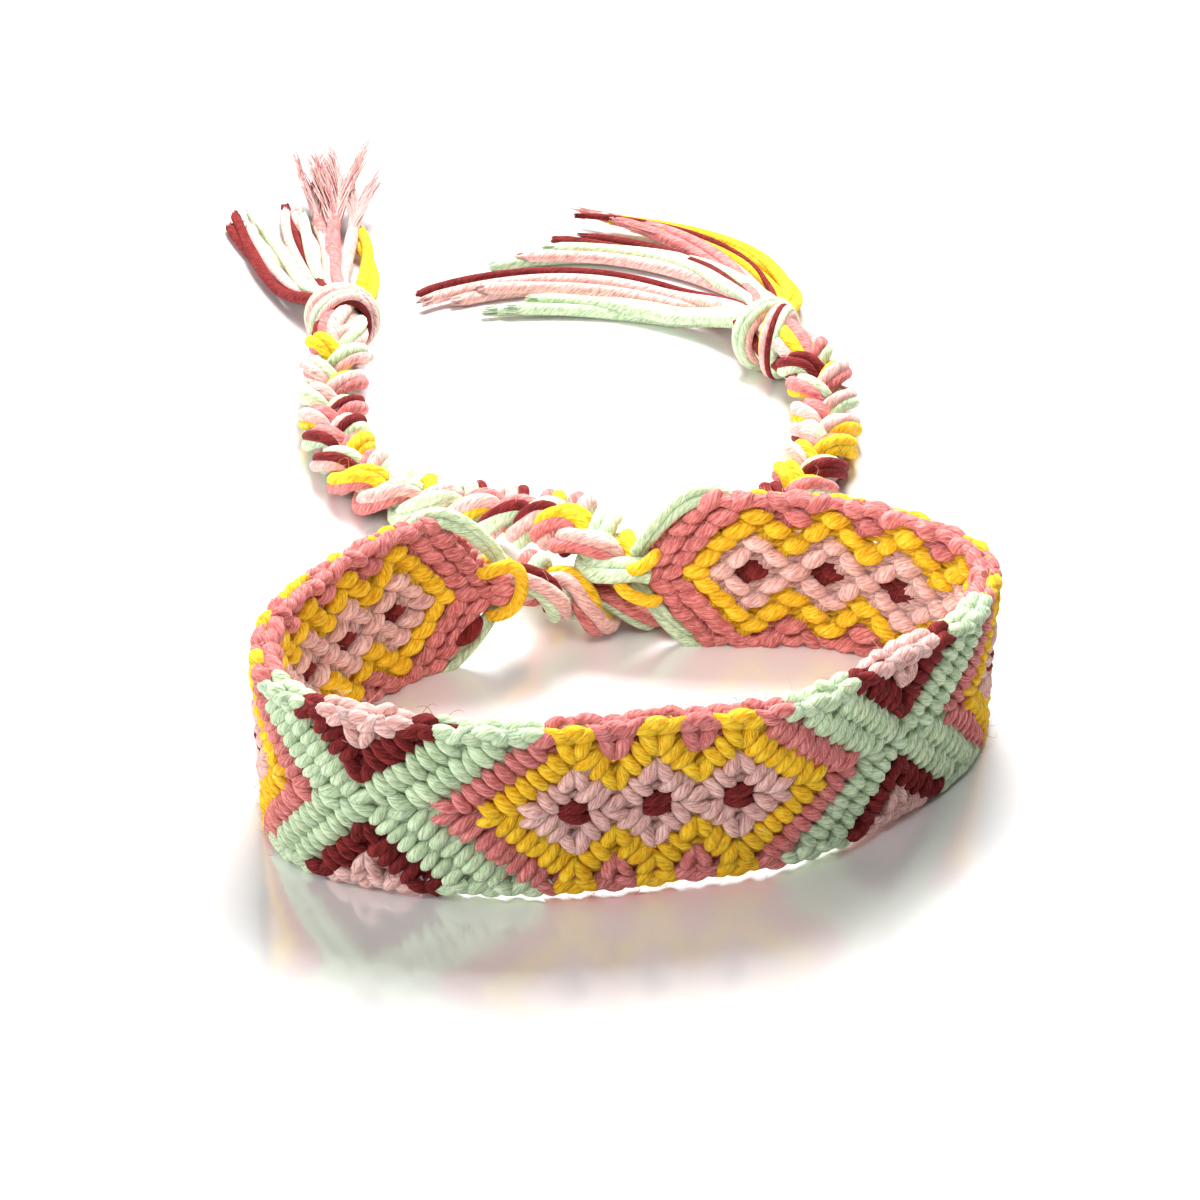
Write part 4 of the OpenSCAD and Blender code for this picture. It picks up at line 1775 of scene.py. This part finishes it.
def right_tie(shop: Workshop) -> BraidedTie:
    """The tie from the band's right tip.

    Args:
        shop: Finishes, trees and random numbers.

    Returns:
        The tie.
    """
    rose, mint, yellow, pale, red = Yarn
    return BraidedTie(
        shop,
        name="right_tie",
        end=float(BandShape.half_knots),
        route=RIGHT_TIE_ROUTE,
        braid_len=68.0,
        # Directions at the knot and at the end, length, thickness, lift, yarns, fray, apart
        locks=(
            Lock(36, 10, 0.96, 0.90, 0.0, (red, red), 0.05, 1.2),
            Lock(26, 15, 0.96, 1.10, 0.0, (mint, mint, pale), 0.08, 1.6),
            Lock(19, 7, 1.00, 0.90, 0.0, (red, pale), 0.05, 1.2),
            Lock(8, 16, 0.88, 1.10, 0.1, (pale, mint, pale), 0.08, 1.6),
            Lock(4, 14, 1.14, 1.15, 0.4, (rose, rose), 1.0, 1.6),
            Lock(7, -3, 1.04, 1.15, 0.5, (rose, pale), 0.9, 1.6),
            Lock(-13, 15, 0.68, 1.00, 0.1, (yellow, yellow), 0.08, 0.9),
        ),
        strands=((mint, mint, pale, red), (yellow, pale, rose, yellow), (mint, red, rose, pale)),
        collar=(yellow, pale, mint, pale, pale),
        wrap=(pale, pale, mint, pale, red),
    )


@dataclass
class StrayFibres(Maker):
    """Fine fibres that stand off the yarn all over the bracelet.

    Attributes:
        on_band: How many stand off the band.
        on_tie: How many stand off each braid.
        thick: Their thickness.
        at_edges: Share of the band's fibres that stand off its edges.
        edge_level: Level of the band's edges.
        edge_out: How far out they start at the edges.
        face_out: How far out they start on the faces.
        strand_out: How far from a strand's middle they start.
        length: Their least length, and how much more they may have.
        lift: How far they rise off the yarn, as a share of their length.
        bend: How much they bend as they run along it.
        curl: How far they curl aside, as a share of their length.
    """

    on_band: int = 900
    on_tie: int = 330
    thick: float = 0.045
    at_edges: float = 0.45
    edge_level: float = 5.3
    edge_out: float = 0.5
    face_out: float = 1.12
    strand_out: float = 0.95
    length: tuple[float, float] = (0.5, 1.1)
    lift: float = 0.75
    bend: float = 0.25
    curl: float = 0.3

    def build(self, ties: list[BraidedTie]) -> None:
        """Builds the fibres of the band and the ties, one piece for each yarn.

        Args:
            ties: The ties that they stand off.
        """
        paths = ThreadPaths()
        shape, chart, chance = BandShape(), KnotChart(), self.shop.chance
        for _ in range(self.on_band):
            half = 1.0 + (shape.half_knots - 2.0) * chance.random()
            reach = min(self.edge_level, 0.8 + min(half, shape.half_knots - half))
            on_edge = chance.random() < self.at_edges
            side = 1.0 if chance.random() < 0.5 else -1.0
            level = side * reach if on_edge else reach * (2 * chance.random() - 1)
            face = 1.0 if chance.random() < 0.5 else -1.0
            out = face * (self.edge_out if on_edge else self.face_out)
            start = shape.place(half, level, out)
            outward = face * shape.outward(half)
            away = unit(outward * (0.4 if on_edge else 1.0) + UP * (side if on_edge else 0.0))
            self._add(paths, chart.yarn(half + chart.first, level), start, away)
        for tie in ties:
            for _ in range(self.on_tie):
                s = tie.braid_len * chance.random()
                number = int(chance.integers(len(tie.strands)))
                start = tie.strand_point(s, number)
                away = unit(chance.normal(size=3) + 0.9 * UP)
                strand = tie.strands[number]
                yarn = strand[int(chance.integers(len(strand)))]
                self._add(paths, yarn, start + away * self.strand_out, away)
        self.shop.sweep(paths, "stray_fibres", STRAY_SIDES)

    def _add(self, paths: ThreadPaths, yarn: Yarn, start: np.ndarray, away: np.ndarray) -> None:
        """Adds one curled fibre.

        Args:
            paths: Where the fibres are gathered.
            yarn: Its yarn.
            start: Where it leaves the thread.
            away: The direction away from the thread.
        """
        chance = self.shop.chance
        aside = unit(np.cross(away, chance.normal(size=3)))
        steps = np.linspace(0.0, 1.0, 6)
        length = self.length[0] + self.length[1] * chance.random() ** 2
        uneven = chance.normal()
        points = shifted(
            start,
            (away, length * (self.lift * np.sin(2.0 * steps))),
            (aside, length * (steps + self.bend * uneven * steps**2)),
            (np.cross(away, aside), self.curl * length * uneven * np.sin(3 * steps)),
        )
        points[:, 2] = np.maximum(points[:, 2], CLEARANCE)
        paths.add(yarn, points, self.thick * (1 - 0.5 * steps), chance.random())


def place_and_turn(name: str, data: bpy.types.ID, place: Vector, way: Vector) -> bpy.types.Object:
    """Makes the object of a light or a camera.

    Args:
        name: Its name.
        data: The light or camera.
        place: Its place.
        way: The direction that it faces.

    Returns:
        The object.
    """
    made = bpy.data.objects.new(name, data)
    made.location = place * MM
    made.rotation_euler = way.to_track_quat("-Z", "Y").to_euler()
    bpy.context.scene.collection.objects.link(made)
    return made


@dataclass(frozen=True)
class SoftLight:
    """A square soft light.

    Attributes:
        name: Its name.
        place: Its place.
        size: The side of its square.
        power: Its power in watts.
        target: The point that it faces.
        spread: Angle of its cone in degrees.
    """

    name: str
    place: tuple[float, float, float]
    size: float
    power: float
    target: tuple[float, float, float]
    spread: float = 180.0

    def build(self) -> None:
        """Makes the light."""
        data = bpy.data.lights.new(self.name, "AREA")
        data.size = self.size * MM
        data.energy = self.power
        data.spread = math.radians(self.spread)
        place = Vector(self.place)
        place_and_turn(self.name, data, place, Vector(self.target) - place)


# Name, place, side of the square, power, target, and the angle of the cone where it is narrow
LIGHTS = (
    SoftLight("back_light", (10.0, 190.0, 270.0), 150.0, 2.45, (0.0, 20.0, 0.0)),
    SoftLight("front_light", (-330.0, -330.0, 150.0), 220.0, 0.76, (0.0, 0.0, 0.0)),
    SoftLight("left_light", (-420.0, -60.0, 160.0), 200.0, 1.17, (0.0, 10.0, 0.0)),
    SoftLight("ring_light", (0.0, -48.0, 92.0), 40.0, 0.0076, (0.0, 22.0, 5.0), 50.0),
    SoftLight("tie_light", (-20.0, 60.0, 230.0), 100.0, 0.008, (0.0, 70.0, 0.0), 40.0),
)


@dataclass
class Studio:
    """The floor, the soft lights and the camera.

    Attributes:
        aim: The point that the camera faces.
        elevation: The camera's height above the floor, in degrees.
        distance: Its distance from that point.
        lens: Its focal length.
        sensor: The width of its sensor.
        floor_half: Half the floor's side, in metres.
        surround: Strength of the faint white surround.
    """

    aim: tuple[float, float, float] = (-3.0, 12.5, 7.5)
    elevation: float = 29.0
    distance: float = 200.0
    lens: float = 72.9
    sensor: float = 36.0
    floor_half: float = 3.0
    surround: float = 0.14

    def build(self) -> None:
        """Builds the floor, the surround, the lights and the camera."""
        self._floor()
        self._surround()
        for light in LIGHTS:
            light.build()
        self._camera()

    def _floor(self) -> None:
        """Makes the pale floor."""
        mesh = bpy.data.meshes.new("floor")
        corners = ((-1, -1, 0), (1, -1, 0), (1, 1, 0), (-1, 1, 0))
        mesh.from_pydata((self.floor_half * np.array(corners)).tolist(), [], [(0, 1, 2, 3)])
        mesh.materials.append(FloorFinish().material())
        floor = bpy.data.objects.new("floor", mesh)
        bpy.context.scene.collection.objects.link(floor)

    def _surround(self) -> None:
        """Makes the faint white surround."""
        world = bpy.data.worlds.new("studio")
        world.use_nodes = True
        ground = world.node_tree.nodes["Background"]
        ground.inputs["Color"].default_value = (1.0, 1.0, 1.0, 1.0)
        ground.inputs["Strength"].default_value = self.surround
        bpy.context.scene.world = world

    def _camera(self) -> None:
        """Makes the camera at the photograph's angle."""
        data = bpy.data.cameras.new("camera")
        data.lens = self.lens
        data.sensor_width = self.sensor
        data.clip_start = 0.005
        data.clip_end = 20.0
        angle = math.radians(self.elevation)
        back = Vector((0.0, -math.cos(angle), math.sin(angle)))
        camera = place_and_turn("camera", data, Vector(self.aim) + back * self.distance, -back)
        bpy.context.scene.camera = camera
        bpy.context.scene.view_settings.view_transform = "Standard"


def main() -> None:
    """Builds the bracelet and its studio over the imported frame."""
    logging.basicConfig(level=logging.INFO, format="%(name)s: %(message)s")
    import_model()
    shop = Workshop(
        materials={finish.yarn: finish.material() for finish in FINISHES},
        threads=ThreadTree(),
        loops=LoopTree(),
        chance=np.random.default_rng(11),
    )
    KnottedBand(shop).build()
    ties = [left_tie(shop), right_tie(shop)]
    for tie in ties:
        tie.build()
    StrayFibres(shop).build(ties)
    Studio().build()


if __name__ == "__main__":
    main()
